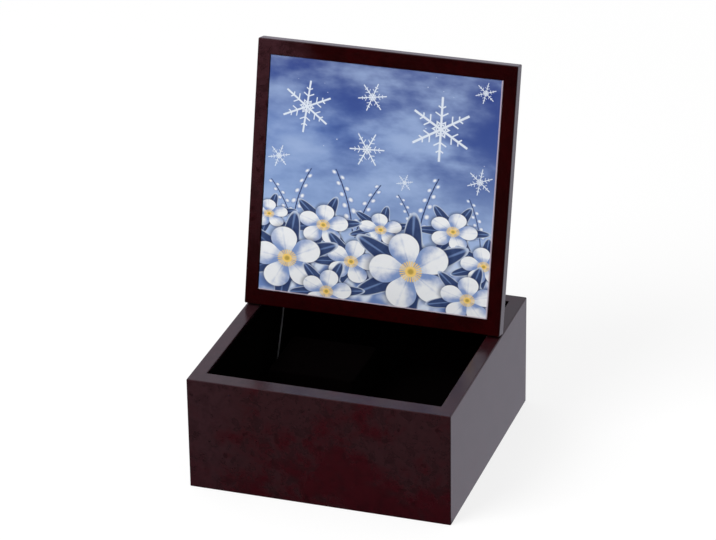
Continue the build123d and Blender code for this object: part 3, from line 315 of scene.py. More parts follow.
# %% World
TENT_LIGHT = 0.62
TENT_FRONT_SHARE = 0.18
TENT_HEIGHT_WEIGHT = 0.5
TENT_SOFTNESS = 1.3
MIRRORED_LEVEL = 0.64
MIRRORED_FRONT_SHARE = 0.012
MIRRORED_TINT = (0.9, 0.87, 1.0, 1.0)


def from_dark(dark_share, share):
    """Grows from that share of the light, on the dark side, to all of it."""
    return dark_share + (1 - dark_share) * share


world = bpy.data.worlds.new("studio")
bpy.context.scene.world = world
tent = blank_tree(world)
direction = tent.parts(tent.node("ShaderNodeTexCoord", output="Generated"))
rear_share = (direction[1] + direction[2] * TENT_HEIGHT_WEIGHT).above(0.0, TENT_SOFTNESS)
lit = tent.node("ShaderNodeBackground", None, [grey(1), from_dark(TENT_FRONT_SHARE, rear_share) * TENT_LIGHT])
tent_mirrored = from_dark(MIRRORED_FRONT_SHARE, rear_share) * MIRRORED_LEVEL
mirrored = tent.node("ShaderNodeBackground", None, [MIRRORED_TINT, tent_mirrored])
seen = tent.node("ShaderNodeBackground", None, [grey(1), 1.0])
shiny = tent.ray("Is Glossy Ray").larger(tent.ray("Is Transmission Ray"))
around = tent.either(tent.ray("Is Camera Ray"), tent.either(shiny, lit, mirrored), seen)
tent.node("ShaderNodeOutputWorld", None, [around])
print("the world has", len(tent.tree.nodes), "nodes")

# %% [markdown]
# The floor does three jobs, and Light Path tells it which: it lights the object as pale card would,
# it shows in the lacquer as a bright floor behind the box and a dark one before it, and the camera
# sees it as white, with a faint shadow that fades out some way from the box.

# %% Floor
FLOOR_HALF = 3.0
FLOOR_BELOW = 0.0002
FLOOR_PAINT = 0.86
FLOOR_SEEN_PAINT = 1.3
FLOOR_SHADE_SHARE = 0.2
SHADE_REACH = 0.7
MIRROR_EDGE_BEHIND_FRONT = 0.004
MIRROR_EDGE_SOFTNESS = 0.012

bpy.ops.object.select_all(action="DESELECT")
bpy.ops.mesh.primitive_plane_add(size=2 * FLOOR_HALF, location=(0, 0, -FLOOR_BELOW))
floor = bpy.context.object
floor.name = "floor"

floor_material = bpy.data.materials.new("pale_floor")
ground = blank_tree(floor_material)
point = ground.place()
near = ground.vector("LENGTH", point, output="Value").under(SHADE_REACH, SHADE_REACH)
mirror_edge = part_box("front_wall")[0].y + MIRROR_EDGE_BEHIND_FRONT
behind_front = ground.parts(point)[1].above(mirror_edge, MIRROR_EDGE_SOFTNESS)
floor_mirrored = from_dark(MIRRORED_FRONT_SHARE, behind_front) * MIRRORED_LEVEL
matt = ground.node("ShaderNodeBsdfDiffuse", None, {"Color": grey(FLOOR_PAINT)})
matt_seen = ground.node("ShaderNodeBsdfDiffuse", None, {"Color": grey(FLOOR_SEEN_PAINT)})
glow = ground.node("ShaderNodeEmission", None, [grey(1), 1.0])
mirror_glow = ground.node("ShaderNodeEmission", None, [MIRRORED_TINT, floor_mirrored])
for_light = ground.either(ground.ray("Is Glossy Ray"), matt, mirror_glow)
for_camera = ground.either(1 - near * FLOOR_SHADE_SHARE, matt_seen, glow)
for_all = ground.either(ground.ray("Is Camera Ray"), for_light, for_camera)
ground.node("ShaderNodeOutputMaterial", None, [for_all])
floor.data.materials.append(floor_material)
print("the floor's mirrored part starts at y =", round(mirror_edge, 4))

# %% [markdown]
# One large soft lamp from the left front gives the faces their different tones. It is hidden from
# glossy rays, because a softbox in the lacquer would draw a white square that the photograph lacks.

# %% Key lamp
LAMP_PLACE = Vector((-1.1, -1.5, 1.7))
LAMP_TARGET = Vector((0, 0, 0.1))
LAMP_SIZE = 1.4
LAMP_POWER = 44.0

bpy.ops.object.light_add(type="AREA", location=LAMP_PLACE)
key_lamp = bpy.context.object
key_lamp.name = "key_lamp"
key_lamp.data.size = LAMP_SIZE
key_lamp.data.energy = LAMP_POWER
key_lamp.rotation_euler = (LAMP_TARGET - key_lamp.location).to_track_quat("-Z", "Y").to_euler()
key_lamp.visible_glossy = False
print("the lamp hangs", round((LAMP_TARGET - LAMP_PLACE).length, 2), "m from the box")

# %% [markdown]
# Burl veneer comes from a knotty outgrowth of the tree, so its figure has no direction: it swirls
# round small dark eyes. Stained burgundy and sealed under a clear lacquer, it reads as almost black
# with red clouds. One noise could give clouds, but no eyes. So three noises and a cell texture make
# it, each on a point that a slower noise has pushed about: clouds of stain some centimetres wide, a
# mottle and a curly figure of some millimetres, and eyes of two or three. The stain is fuller low
# down and near the middle of the box's width. The gloss comes from the lacquer, and near the left
# edge a paler painted reflection is laid into the colour.

# %% Burl lacquer
CLOUD = {"scale": 30, "detail": 6, "roughness": 0.66}
MOTTLE = {"scale": 115, "detail": 5, "roughness": 0.62}
CURL = {"scale": 210, "detail": 6, "roughness": 0.6}
EYE_CELLS_PER_METRE = 135
COARSE_SWIRL = 0.022
FINE_SWIRL = 0.012
LESS_STAIN_PER_METRE = 3.0
MOST_STAIN_LOST = 0.2
STAIN_SHARE = 0.82
REFLECTION_FROM_MIDDLE = 0.062
LACQUER_WAVE = 0.00004


def burl(haze, pale, stain, eye, stain_edge, reflection_foot, gloss_ior):
    """Lacquered burl: haze is the common tone, stain the red clouds, eye the dots. Above that
    foot, near the left edge, a paler painted reflection is laid over the tone."""
    def dress(paint):
        place = paint.place()
        aside, _, height = paint.parts(place)
        cloud = paint.noise(paint.warped(place, 38, COARSE_SWIRL), **CLOUD)
        mottle = paint.noise(paint.warped(place, 70, FINE_SWIRL), **MOTTLE)
        curl = paint.noise(paint.warped(place, 120, FINE_SWIRL), **CURL)
        ring = paint.cells(paint.warped(place, 60, FINE_SWIRL), EYE_CELLS_PER_METRE, "SMOOTH_F1")
        dots = ring.under(0.2, soft=0.2) * mottle.above(0.5, soft=0.12)
        lost = (height * LESS_STAIN_PER_METRE + aside.size()).smaller(MOST_STAIN_LOST)
        stained = (cloud + (mottle - 0.5) * 0.4 - lost).above(stain_edge, soft=0.24) * STAIN_SHARE
        # painted reflection: near the left edge the tone is laid paler, as if the lacquer mirrored something
        # light there
        ragged_side = aside + (cloud - 0.5) * 0.05
        painted_reflection = ragged_side.under(-REFLECTION_FROM_MIDDLE, soft=0.03) * height.above(reflection_foot, soft=0.1)
        tone = paint.blend(paint.blend(haze, pale, painted_reflection), stain, stained * (1 - painted_reflection * 0.6))
        tone = paint.blend(tone, eye, mottle.under(0.44, soft=0.16) * 0.35)
        tone = paint.blend(tone, eye, curl.under(0.42, soft=0.3) * 0.3)
        tone = paint.blend(tone, eye, dots * 0.55)
        return {
            "Base Color": tone,
            "Roughness": 0.18 + 0.08 * paint.noise(place, 90, detail=3),
            "IOR": gloss_ior,
            "Normal": paint.bump(paint.noise(place, 260, detail=1), LACQUER_WAVE, 0.25),
        }
    return dress


print("the burl's eyes lie about", round(1000 / EYE_CELLS_PER_METRE, 1), "mm apart")

# %% [markdown]
# The lid is a darker and redder sheet of burl than the case, and its lacquer mirrors more, so the
# one function is given other colours and a higher index of refraction. The paler painted reflection
# lies near the left edge, on the case at every height and on the lid only high up.

# %% The burl of the case and of the lid
finish("burl_case", burl(
    haze=rgb(50, 25, 29), pale=rgb(53, 29, 34), stain=rgb(55, 2, 11), eye=rgb(26, 8, 11),
    stain_edge=0.39, reflection_foot=-0.1, gloss_ior=1.5,
))
finish("burl_lid", burl(
    haze=rgb(37, 1, 2), pale=rgb(62, 33, 39), stain=rgb(46, 0, 2), eye=rgb(22, 1, 1),
    stain_edge=0.36, reflection_foot=0.13, gloss_ior=1.62,
))

# %% [markdown]
# Flock is a velvet of short fibres glued to card. Real fibres could be grown as hair, but here they
# are far smaller than a pixel. Noise finer than a millimetre in colour and bump reads the same. It
# swallows light when it is looked at straight, and shows a faint pale bloom at a glancing angle,
# which is what the sheen socket is for. A few specks of lint keep it from looking like a hole.

# %% Black flock
NAP_PER_METRE = 2400
LINT_CELLS_PER_METRE = 420


def flock(paint):
    place = paint.place()
    nap = paint.noise(place, NAP_PER_METRE, detail=2)
    brushed = paint.noise(place, 45, detail=3)
    specks = paint.cells(paint.warped(place, 300, 0.003), LINT_CELLS_PER_METRE).under(0.05, soft=0.04)
    lint = specks * paint.noise(place, 130).above(0.56, soft=0.1)
    tone = paint.blend(rgb(2, 1, 1), rgb(9, 5, 6), nap * brushed)
    return {
        "Base Color": paint.blend(tone, rgb(52, 49, 52), lint * 0.3),
        "Roughness": 1.0,
        "Specular IOR Level": 0.0,
        "Sheen Weight": 0.004,
        "Sheen Roughness": 0.5,
        "Normal": paint.bump(nap, 0.0002, 0.6),
    }


finish("black_flock", flock)

# %% [markdown]
# The floor board is thin plywood, bare below, where only the winder's hand goes. Its grain and its
# pores are one noise each, stretched along X: a noise that is scaled more across than along makes
# streaks. A wave texture would give rings that are too even for sliced veneer.

# %% Plywood
GRAIN_STRETCH = (9, 190, 190)
PORE_STRETCH = (60, 1500, 1500)


def plywood(paint):
    place = paint.place()
    streaks = paint.stretched(place, *GRAIN_STRETCH)
    grain = paint.noise(streaks, 1.0, detail=7, roughness=0.62, distortion=0.6)
    pores = paint.noise(paint.stretched(place, *PORE_STRETCH), 1.0, detail=2).under(0.4, soft=0.1)
    tone = paint.blend(rgb(196, 160, 118), rgb(158, 117, 76), grain.above(0.52, soft=0.35))
    return {
        "Base Color": paint.blend(tone, rgb(110, 76, 46), pores * 0.6),
        "Roughness": 0.62,
        "Normal": paint.bump(grain, 0.0002, 0.4),
    }


finish("plywood", plywood)

# %% [markdown]
# The movement has bright steel for arbors, comb and screws, blued steel for the spring, brass for
# wheels and brackets, and cast zinc for the bed. All are bare metal, so they share one function: a
# fine grain in roughness and bump, and a coarser film of handling over the colour. Steel bar is
# drawn through a die, so its grain is stretched along X.

# %% Bare metals
DRAWN_ALONG_X = (0.2, 1, 1)
NO_DIRECTION = (1, 1, 1)


def metal(bright, dull, roughness, grain, direction=NO_DIRECTION):
    """A bare metal: a fine grain at so many lines per metre, and duller films over the bright tone."""
    def dress(paint):
        place = paint.place()
        lines = paint.noise(paint.stretched(place, *[axis * grain for axis in direction]), 1.0, detail=4)
        film = paint.noise(place, 300, detail=5, roughness=0.65)
        return {
            "Base Color": paint.blend(bright, dull, film.above(0.55, soft=0.4)),
            "Metallic": 1.0,
            "Roughness": roughness + 0.16 * (lines - 0.5) + 0.1 * film,
            "Normal": paint.bump(lines, 0.00002, 0.5),
        }
    return dress


finish("bright_steel", metal(rgb(205, 206, 210), rgb(160, 160, 164), 0.2, grain=900, direction=DRAWN_ALONG_X))
finish("blue_steel", metal(rgb(92, 104, 140), rgb(60, 66, 92), 0.22, grain=900))
finish("brass", metal(rgb(226, 190, 112), rgb(178, 138, 70), 0.22, grain=1200))
finish("cast_zinc", metal(rgb(190, 192, 196), rgb(150, 151, 154), 0.42, grain=500))

# %% [markdown]
# The stay arms and their brackets are blacked steel: a thin dark oxide over metal, worn to grey in
# spots, so it is only partly metallic. The stop wire is plain drawn wire, with its grain along Z,
# the way that it stands. A clean mirror would show the black inside of the box and be lost in it,
# so the wire is dull and only partly metallic too.

# %% Blacked steel and drawn wire
WIRE_STRETCH = (1, 1, 0.1)


def black_steel(paint):
    place = paint.place()
    grain = paint.noise(place, 1500, detail=3)
    worn = paint.noise(place, 260, detail=5, roughness=0.7).above(0.68, soft=0.1)
    return {
        "Base Color": paint.blend(rgb(20, 20, 22), rgb(62, 60, 60), worn * 0.5),
        "Metallic": 0.3,
        "Roughness": 0.36 + 0.2 * grain,
        "Normal": paint.bump(grain, 0.00003, 0.5),
    }


def drawn_wire(paint):
    grain = paint.noise(paint.stretched(paint.place(), *WIRE_STRETCH), 1800, detail=3)
    return {
        "Base Color": paint.blend(rgb(160, 160, 164), rgb(118, 118, 122), grain),
        "Metallic": 0.35,
        "Roughness": 0.5 + 0.12 * grain,
        "Normal": paint.bump(grain, 0.00001, 0.4),
    }


finish("black_steel", black_steel)
finish("drawn_wire", drawn_wire)

# %% [markdown]
# A bed of foamed glue holds the tile. Nothing shows it until the tile is taken out, but a part that
# can be taken apart needs it. Cells, the texture that looks like packed bubbles, are its pores.

# %% Glue foam
PORES_PER_METRE = 900


def glue_foam(paint):
    pores = paint.cells(paint.place(), PORES_PER_METRE)
    return {
        "Base Color": paint.blend(rgb(214, 210, 200), rgb(180, 174, 160), pores),
        "Roughness": 0.9,
        "Normal": paint.bump(pores, 0.0002, 0.7),
    }


finish("glue_foam", glue_foam)

# %% [markdown]
# The picture is a glazed tile. Its design, snow crystals over berries and winter roses, is drawn
# with arithmetic on two numbers: how far across the tile a point lies and how far up it, from 0 to
# 1. The tile leans with the lid, so those numbers come from the model. Shut, the arms lie flat, as
# the lid does, so the angle that they swing through is the slope of the open lid.

# %% The tile's own coordinates
lid_slope = next(radians(joint["range_deg"][1]) for joint in frame["joints"] if joint["name"] == "arm_swing")
up_the_lid = Vector((0, cos(lid_slope), sin(lid_slope)))
tile_low, tile_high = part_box("picture_tile")
tile_size = tile_high.x - tile_low.x
tile_foot = min(up_the_lid.dot(vertex.co) for vertex in nodes["picture_tile"].data.vertices)
print("the tile is", round(tile_size, 4), "m wide, and starts", round(tile_foot, 4), "m up the slope")

# %% [markdown]
# Each motif is a mask that lays one colour over another, as a sign painter would work. It repeats,
# so it is a stamp: a node group that takes the picture so far, lays one motif over it, and gives
# the picture on. Ten roses are then ten nodes in the tile's own tree, and not a thousand. All
# stamps take the same eight numbers, so that one loop can lay any of them, and a motif may leave
# some of the eight unused.

# %% How a stamp is made
STAMP_NUMBERS = ["Across", "Up", "Middle across", "Middle up", "Reach", "Turn", "Squash", "Grain"]


def stamp(name, draw):
    """A node group that lays one motif over the picture."""
    tree = bpy.data.node_groups.new(name, "ShaderNodeTree")
    tree.interface.new_socket("Picture", in_out="INPUT", socket_type="NodeSocketColor")
    for number in STAMP_NUMBERS:
        tree.interface.new_socket(number, in_out="INPUT", socket_type="NodeSocketFloat")
    tree.interface.new_socket("Picture", in_out="OUTPUT", socket_type="NodeSocketColor")
    paint = Paint(tree)
    entry = tree.nodes.new("NodeGroupInput")
    way_out = tree.nodes.new("NodeGroupOutput")
    sockets = [Wire(paint, socket) for socket in list(entry.outputs)[:len(STAMP_NUMBERS) + 1]]
    tree.links.new(draw(paint, *sockets).socket, way_out.inputs[0])
    print("stamp", name, "has", len(tree.nodes), "nodes")
    return tree


def round_the_middle(right_of, above_it, sectors, turn):
    """The plane folded into equal sectors: the distance from the middle, and the place across the
    point's own sector, from -0.5 to 0.5."""
    distance = (right_of * right_of + above_it * above_it) ** 0.5
    angle = above_it.math("ARCTAN2", above_it, right_of)
    return distance, (angle / (2 * pi / sectors) + turn).part() - 0.5


print("a stamp takes the picture and", len(STAMP_NUMBERS), "numbers")

# %% [markdown]
# A snow crystal has six equal arms, so the plane is folded into six sectors and one arm is drawn: a
# spine, branches that leave it at a slant and shorten to the tip, and a small ring round the middle.

# %% Snow crystal
ARMS = 6
BRANCHES = 4.0
BRANCH_SLANT = 0.577
BRANCH_REACH = 0.42
CRYSTAL_RING = 0.13


def snow_crystal(paint, colour, across, up_it, middle_across, middle_up, reach, turn, squash, grain):
    """Six arms with branches, and a small ring round the middle."""
    distance, sector = round_the_middle(across - middle_across, up_it - middle_up, ARMS, turn)
    angle = sector * (2 * pi / ARMS)
    out = distance * angle.cosine() / reach
    side = distance * angle.sine().size() / reach
    spine = side.under(0.035, soft=0.02)
    along_branches = ((out - side * BRANCH_SLANT) * BRANCHES - 0.1).part() - 0.5
    in_reach = (side - (1 - out) * BRANCH_REACH).under(0.0, soft=0.02)
    branches = along_branches.size().under(0.1, soft=0.06) * in_reach * out.above(0.16, soft=0.02)
    core = (out - CRYSTAL_RING).size().under(0.02, soft=0.015)
    crystal = spine.larger(branches).larger(core) * out.under(1.0, soft=0.03)
    return paint.blend(colour, rgb(238, 245, 255), crystal * 0.92)


crystal_stamp = stamp("snow_crystal", snow_crystal)

# %% [markdown]
# A sprig is a stalk that bows over. Its coordinates are bent with it: how far along the stalk, and
# how far aside. A sawtooth along it, shifted half a step from one side to the other, then sets
# round berries by turns. They shade from white to blue at their outline, as balls do.

# %% Sprig with berries
BERRY_STEPS = 6
BERRY_SIZE = 0.066
BERRY_TAPER = 0.026
BERRY_ASIDE = 1.1
FIRST_BERRY = 0.15


def berry_sprig(paint, colour, across, up_it, foot_across, foot_up, reach, lean, bend, grain):
    """A stalk that bows over, with white berries by turns on its two sides, smaller to its tip."""
    right_of = across - foot_across
    above_it = up_it - foot_up
    along = (right_of * lean.sine() + above_it * lean.cosine()) / reach
    aside = (right_of * lean.cosine() - above_it * lean.sine()) / reach - along * along * bend
    in_length = along.under(1.0, soft=0.02)
    stalk = aside.size().under(0.01, soft=0.008) * along.above(0.01, soft=0.02) * in_length
    colour = paint.blend(colour, rgb(40, 58, 112), stalk)

    berry = BERRY_SIZE - along * BERRY_TAPER
    step = ((along * BERRY_STEPS + aside.sign() * 0.25).part() - 0.5) / BERRY_STEPS
    beside = aside.size() - berry * BERRY_ASIDE
    from_middle = ((step * step + beside * beside) ** 0.5) / berry
    shaded = from_middle.above(0.7 - grain * 0.3, soft=0.7)
    tone = paint.blend(rgb(248, 250, 255), rgb(138, 162, 212), shaded)
    berries = from_middle.under(1.0, soft=0.14) * along.above(FIRST_BERRY, soft=0.02) * in_length
    return paint.blend(colour, tone, berries)


sprig_stamp = stamp("berry_sprig", berry_sprig)

# %% [markdown]
# A winter rose has five broad petals round a ring of golden stamens, over dark leaves. Petals and
# leaves are one function: a power of a cosine across each sector is their outline, slim when the
# power is high and broad when it is low. The rose is squashed a little, as a flower that is seen
# from the side.

# %% Winter rose
PETALS = 5
PETAL_SLIM = 0.55
LEAVES = 6
LEAF_SLIM = 5.0
LEAF_REACH = 1.55
STAMENS_PER_PETAL = 5.0
STAMEN_RING = 0.2


def petals(right_of, above_it, reach, turn, count, slim):
    """A ring of petals: how far inside their outline a point lies, how far out, how far across."""
    distance, beside = round_the_middle(right_of, above_it, count, turn)
    out = distance / reach
    outline = (beside * pi).cosine() ** slim
    return outline * 0.5 + 0.5 - out, out, beside


def winter_rose(paint, colour, across, up_it, middle_across, middle_up, reach, turn, squash, grain):
    """Six leaves, their shadow, five petals, and a ring of golden stamens."""
    right_of = across - middle_across
    above_it = (up_it - middle_up) / squash
    inside, out, beside = petals(right_of, above_it, reach * LEAF_REACH, turn, LEAVES, LEAF_SLIM)
    rib = beside.size().under(0.02, soft=0.03)
    leaf = paint.blend(rgb(32, 50, 98), rgb(126, 154, 206), rib * 0.6 + grain * 0.25)
    leaf = paint.blend(leaf, rgb(214, 226, 246), inside.under(0.05, soft=0.06) * 0.8)
    colour = paint.blend(colour, leaf, inside.above(0.0, soft=0.02))

    inside, out, beside = petals(right_of, above_it, reach, turn, PETALS, PETAL_SLIM)
    colour = paint.blend(colour, rgb(24, 38, 84), inside.above(-0.06, soft=0.3) * 0.75)
    shade = beside.above(0.2, soft=0.6) * 0.75 + out.under(0.42, soft=0.3) * 0.45 + (grain - 0.5) * 0.7
    shade = shade + beside.size().under(0.03, soft=0.06) * 0.18
    petal = paint.blend(rgb(250, 252, 255), rgb(132, 158, 210), shade.above(0.45, soft=0.9))
    colour = paint.blend(colour, petal, inside.above(0.0, soft=0.03))

    stamens = (beside * STAMENS_PER_PETAL + 0.1).part() - 0.5
    ring = (out - STAMEN_RING).size().under(0.07, soft=0.03) * stamens.size().under(0.28, soft=0.15)
    colour = paint.blend(colour, rgb(255, 216, 120), ring.larger(out.under(0.14, soft=0.03)))
    return paint.blend(colour, rgb(176, 148, 62), out.under(0.07, soft=0.06) * 0.8)


rose_stamp = stamp("winter_rose", winter_rose)

# %% [markdown]
# Behind the motifs lies the ground of the picture: a sky that pales to its foot, torn mist, a few
# stars, and low down a bank of small blossom out of focus. A ramp gives the sky, stretched noise
# the mist, and cells both the stars, as their small middles, and the blossom.

# %% Sky and blossom
SKY_STOPS = [
    (0.16, rgb(190, 210, 242)), (0.42, rgb(146, 174, 222)),
    (0.70, rgb(92, 124, 190)), (1.0, rgb(50, 68, 140)),
]
STAR_CELLS = 26
BLOSSOM_CELLS = 24
BANK_TOP = 0.2


def sky(paint, flat, across, up_it):
    colour = paint.node("ShaderNodeValToRGB", {"stops": SKY_STOPS}, [up_it])
    mist = paint.noise(paint.stretched(flat, 2.2, 4.5, 1.0), 1.0, detail=5, roughness=0.55)
    colour = paint.blend(colour, rgb(176, 198, 236), mist.above(0.52, soft=0.34) * 0.75)
    deeper = (mist - (across - 0.5) * 0.25).under(0.46, soft=0.3) * up_it.above(0.45, soft=0.6)
    colour = paint.blend(colour, rgb(48, 68, 142), deeper * 0.75)
    star_size = paint.parts(paint.cells(flat, STAR_CELLS, output=1))[0] * 0.05
    stars = (paint.cells(flat, STAR_CELLS) - star_size).under(0.012, soft=0.02)
    return paint.blend(colour, rgb(236, 243, 255), stars * up_it.above(0.5, soft=0.1))


def blossom_bank(paint, colour, flat, up_it):
    ripple = paint.noise(flat, 9, detail=6, roughness=0.6)
    blossom = paint.cells(paint.warped(flat, 12, 0.04), BLOSSOM_CELLS, "SMOOTH_F1")
    bank = paint.blend(rgb(226, 236, 252), rgb(112, 140, 198), blossom.above(0.42, soft=0.4))
    return paint.blend(colour, bank, (up_it + (ripple - 0.5) * 0.16).under(BANK_TOP, soft=0.1))


print("the sky has", len(SKY_STOPS), "stops")

# %% [markdown]
# The motifs are set out one by one, as on a sketch, because an even scatter would look like wallpaper.
# Each row is one motif: its middle or its foot, its reach, its turn or lean, and its squash or bend.
# Later rows lie over earlier ones, so the largest roses, which stand nearest, come near the end.

# %% Where the motifs go
CRYSTALS = [
    (0.17, 0.80, 0.110, 0.10, 1.0), (0.45, 0.87, 0.062, 0.35, 1.0), (0.75, 0.77, 0.135, 0.00, 1.0),
    (0.93, 0.94, 0.045, 0.20, 1.0), (0.44, 0.65, 0.075, 0.45, 1.0), (0.06, 0.58, 0.048, 0.30, 1.0),
    (0.93, 0.57, 0.056, 0.15, 1.0), (0.61, 0.53, 0.036, 0.30, 1.0),
]
SPRIGS = [
    (0.14, 0.28, 0.26, -0.05, 0.30), (0.14, 0.28, 0.22, -0.25, -0.25), (0.40, 0.28, 0.28, -0.10, -0.22),
    (0.41, 0.27, 0.25, 0.15, 0.25), (0.68, 0.30, 0.27, 0.10, 0.18), (0.67, 0.30, 0.19, -0.20, -0.25),
    (0.95, 0.30, 0.20, -0.10, -0.20),
]
ROSES = [
    (0.03, 0.33, 0.085, 0.20, 0.70), (0.52, 0.32, 0.095, 0.15, 0.72), (0.83, 0.35, 0.105, 0.45, 0.76),
    (0.27, 0.31, 0.110, 0.30, 0.78), (0.97, 0.22, 0.100, 0.10, 0.80), (0.40, 0.17, 0.115, 0.40, 0.80),
    (0.12, 0.15, 0.155, 0.10, 0.86), (0.66, 0.16, 0.180, 0.00, 0.90), (0.91, 0.07, 0.120, 0.25, 0.82),
    (0.30, 0.03, 0.110, 0.35, 0.84),
]
print(len(CRYSTALS), "crystals,", len(SPRIGS), "sprigs and", len(ROSES), "roses")

# %% [markdown]
# Now the tile is painted from the back to the front: sky, crystals, sprigs, the bank of blossom,
# and the roses. Along the tile's right edge and foot, a pale line is a painted highlight, where the
# rounded edge would catch the light. The tile has a thin clear coat over a duller print, as a glazed tile
# has.

# %% The picture
PAINTED_HIGHLIGHT_LINE = 0.0065
PAINTED_HIGHLIGHT_SOFTNESS = 0.003


def picture(paint):
    place = paint.place()
    across = paint.parts(place)[0] / tile_size + 0.5
    up_it = (paint.along(place, up_the_lid) - tile_foot) / tile_size
    flat = paint.node("ShaderNodeCombineXYZ", None, [across, up_it, 0.0])
    grain = paint.noise(flat, 34, detail=3)

    def stamped(colour, tree, motifs):
        for motif in motifs:
            values = [colour, across, up_it, *motif, grain]
            colour = paint.node("ShaderNodeGroup", {"node_tree": tree}, values)
        return colour

    colour = sky(paint, flat, across, up_it)
    colour = stamped(colour, crystal_stamp, CRYSTALS)
    colour = stamped(colour, sprig_stamp, SPRIGS)
    colour = blossom_bank(paint, colour, flat, up_it)
    colour = stamped(colour, rose_stamp, ROSES)
    # painted highlight: a pale line along the tile's right edge and foot, where its rounded edge would catch
    # the light
    at_right = across.above(1 - PAINTED_HIGHLIGHT_LINE, PAINTED_HIGHLIGHT_SOFTNESS)
    at_foot = up_it.under(PAINTED_HIGHLIGHT_LINE, PAINTED_HIGHLIGHT_SOFTNESS)
    return {
        "Base Color": paint.blend(colour, rgb(214, 196, 208), at_right.larger(at_foot) * 0.8),
        "Roughness": 0.42,
        "Specular IOR Level": 0.3,
        "Coat Weight": 0.55,
        "Coat Roughness": 0.06,
        "Normal": paint.bump(paint.noise(place, 600, detail=2), 0.00002, 0.2),
    }


finish("picture_glaze", picture)

# %% [markdown]
# A CAD node keeps its mesh, and takes a finish in its material slot. The part's own record names a
# material for each node, and most finishes go by that name. The first list gives the names that
# differ, and the second the nodes that have a finish of their own.

# %% Dress the nodes
FINISH_OF_SLOT = {"burl_lacquer": "burl_case", "black_plastic": "black_flock"}
FINISH_OF_NODE = {"lid_board": "burl_lid", "stop_wire": "drawn_wire"}

slot_of_node = {row["node"]: row["material_slot"] for row in frame["record"]["subparts"]}
for node, slot in slot_of_node.items():
    name = FINISH_OF_NODE.get(node, FINISH_OF_SLOT.get(slot, slot))
    mesh = nodes[node].data
    mesh.materials.clear()
    mesh.materials.append(finishes[name])
print(len(slot_of_node), "nodes wear", len(finishes), "finishes")

# %% [markdown]
# Stamped and cast pieces never have a razor edge: the tool or the tumbling barrel takes it off.
# A CAD solid has such edges, and its mesh isn't changed here, so a copy of it gets them rounded and
# stands in its place. The copy's loose triangles are merged first, flat faces are dissolved into
# whole ones, and then a bevel modifier rounds what is sharper than its angle limit.

# %% Copy a node and merge it
MERGE_DISTANCE = 1e-6

bodies = frame["record"]["behaviour"]["bodies"]
body_of_node = {node: body for body, members in bodies.items() for node in members}


def only(thing):
    """Selects one object and makes it the active one."""
    bpy.ops.object.select_all(action="DESELECT")
    thing.select_set(True)
    bpy.context.view_layer.objects.active = thing


def merged_copy(node):
    """A copy of a CAD node, its loose triangles merged. It is left in edit mode, all selected."""
    only(nodes[node])
    bpy.ops.object.duplicate()
    bpy.ops.object.mode_set(mode="EDIT")
    bpy.ops.mesh.select_all(action="SELECT")
    bpy.ops.mesh.remove_doubles(threshold=MERGE_DISTANCE)
    return bpy.context.object


def carry(piece, node):
    """The piece rides as the node does, and stands in its place."""
    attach(piece, body_of_node[node])
    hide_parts(node)
    print(piece.name, "has", len(piece.data.polygons), "faces")


# %% [markdown]
# The width of the rounding differs from piece to piece: a quarter of a millimetre or less on the
# thin sheet of arms and brackets, and more on the rivets' heads and on the key, which a hand turns.

# %% Soften the edges of the hardware
ROUNDING = {
    "left_wall_bracket": 0.00025, "right_wall_bracket": 0.00025, "left_stay_arm": 0.00025,
    "right_stay_arm": 0.00025, "left_lid_bracket": 0.0002, "right_lid_bracket": 0.0002,
    "case_rivets": 0.0003, "lid_rivets": 0.0003, "winding_key": 0.0004,
}
ROUNDING_SEGMENTS = 2
FLAT_WITHIN = radians(1)
SHARP_ABOVE = radians(35)
SMOOTH_UNDER = radians(40)


def softened(node, width):
    """A copy of a CAD node with its sharp edges rounded."""
    piece = merged_copy(node)
    bpy.ops.mesh.dissolve_limited(angle_limit=FLAT_WITHIN)
    bpy.ops.object.mode_set(mode="OBJECT")
    piece.name = node + "_soft"
    piece.parent = None
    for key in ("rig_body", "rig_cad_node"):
        if key in piece:
            del piece[key]
    bevel = piece.modifiers.new("round", "BEVEL")
    bevel.width = width
    bevel.segments = ROUNDING_SEGMENTS
    bevel.limit_method = "ANGLE"
    bevel.angle_limit = SHARP_ABOVE
    bpy.ops.object.modifier_apply(modifier=bevel.name)
    bpy.ops.object.shade_smooth_by_angle(angle=SMOOTH_UNDER)
    return piece


for node, width in ROUNDING.items():
    carry(softened(node, width), node)

# %% [markdown]
# The CAD's screws are plain: a coned head on a rod. Where a driver would go, each gets a cross
# recess, and its head gets a rounded rim. First the CAD's own screws are measured, so that the new
# ones sit on the same seats: the node is copied, merged, and split into its loose parts. A screw is
# widest at its seat, and its head is the end that is wider than the other.

# %% How a screw is measured
SAME_LEVEL = 1e-5


def loose_parts(node):
    """The separate solids of a node, as objects of their own."""
    merged_copy(node)
    bpy.ops.mesh.separate(type="LOOSE")
    bpy.ops.object.mode_set(mode="OBJECT")
    return list(bpy.context.selected_objects)


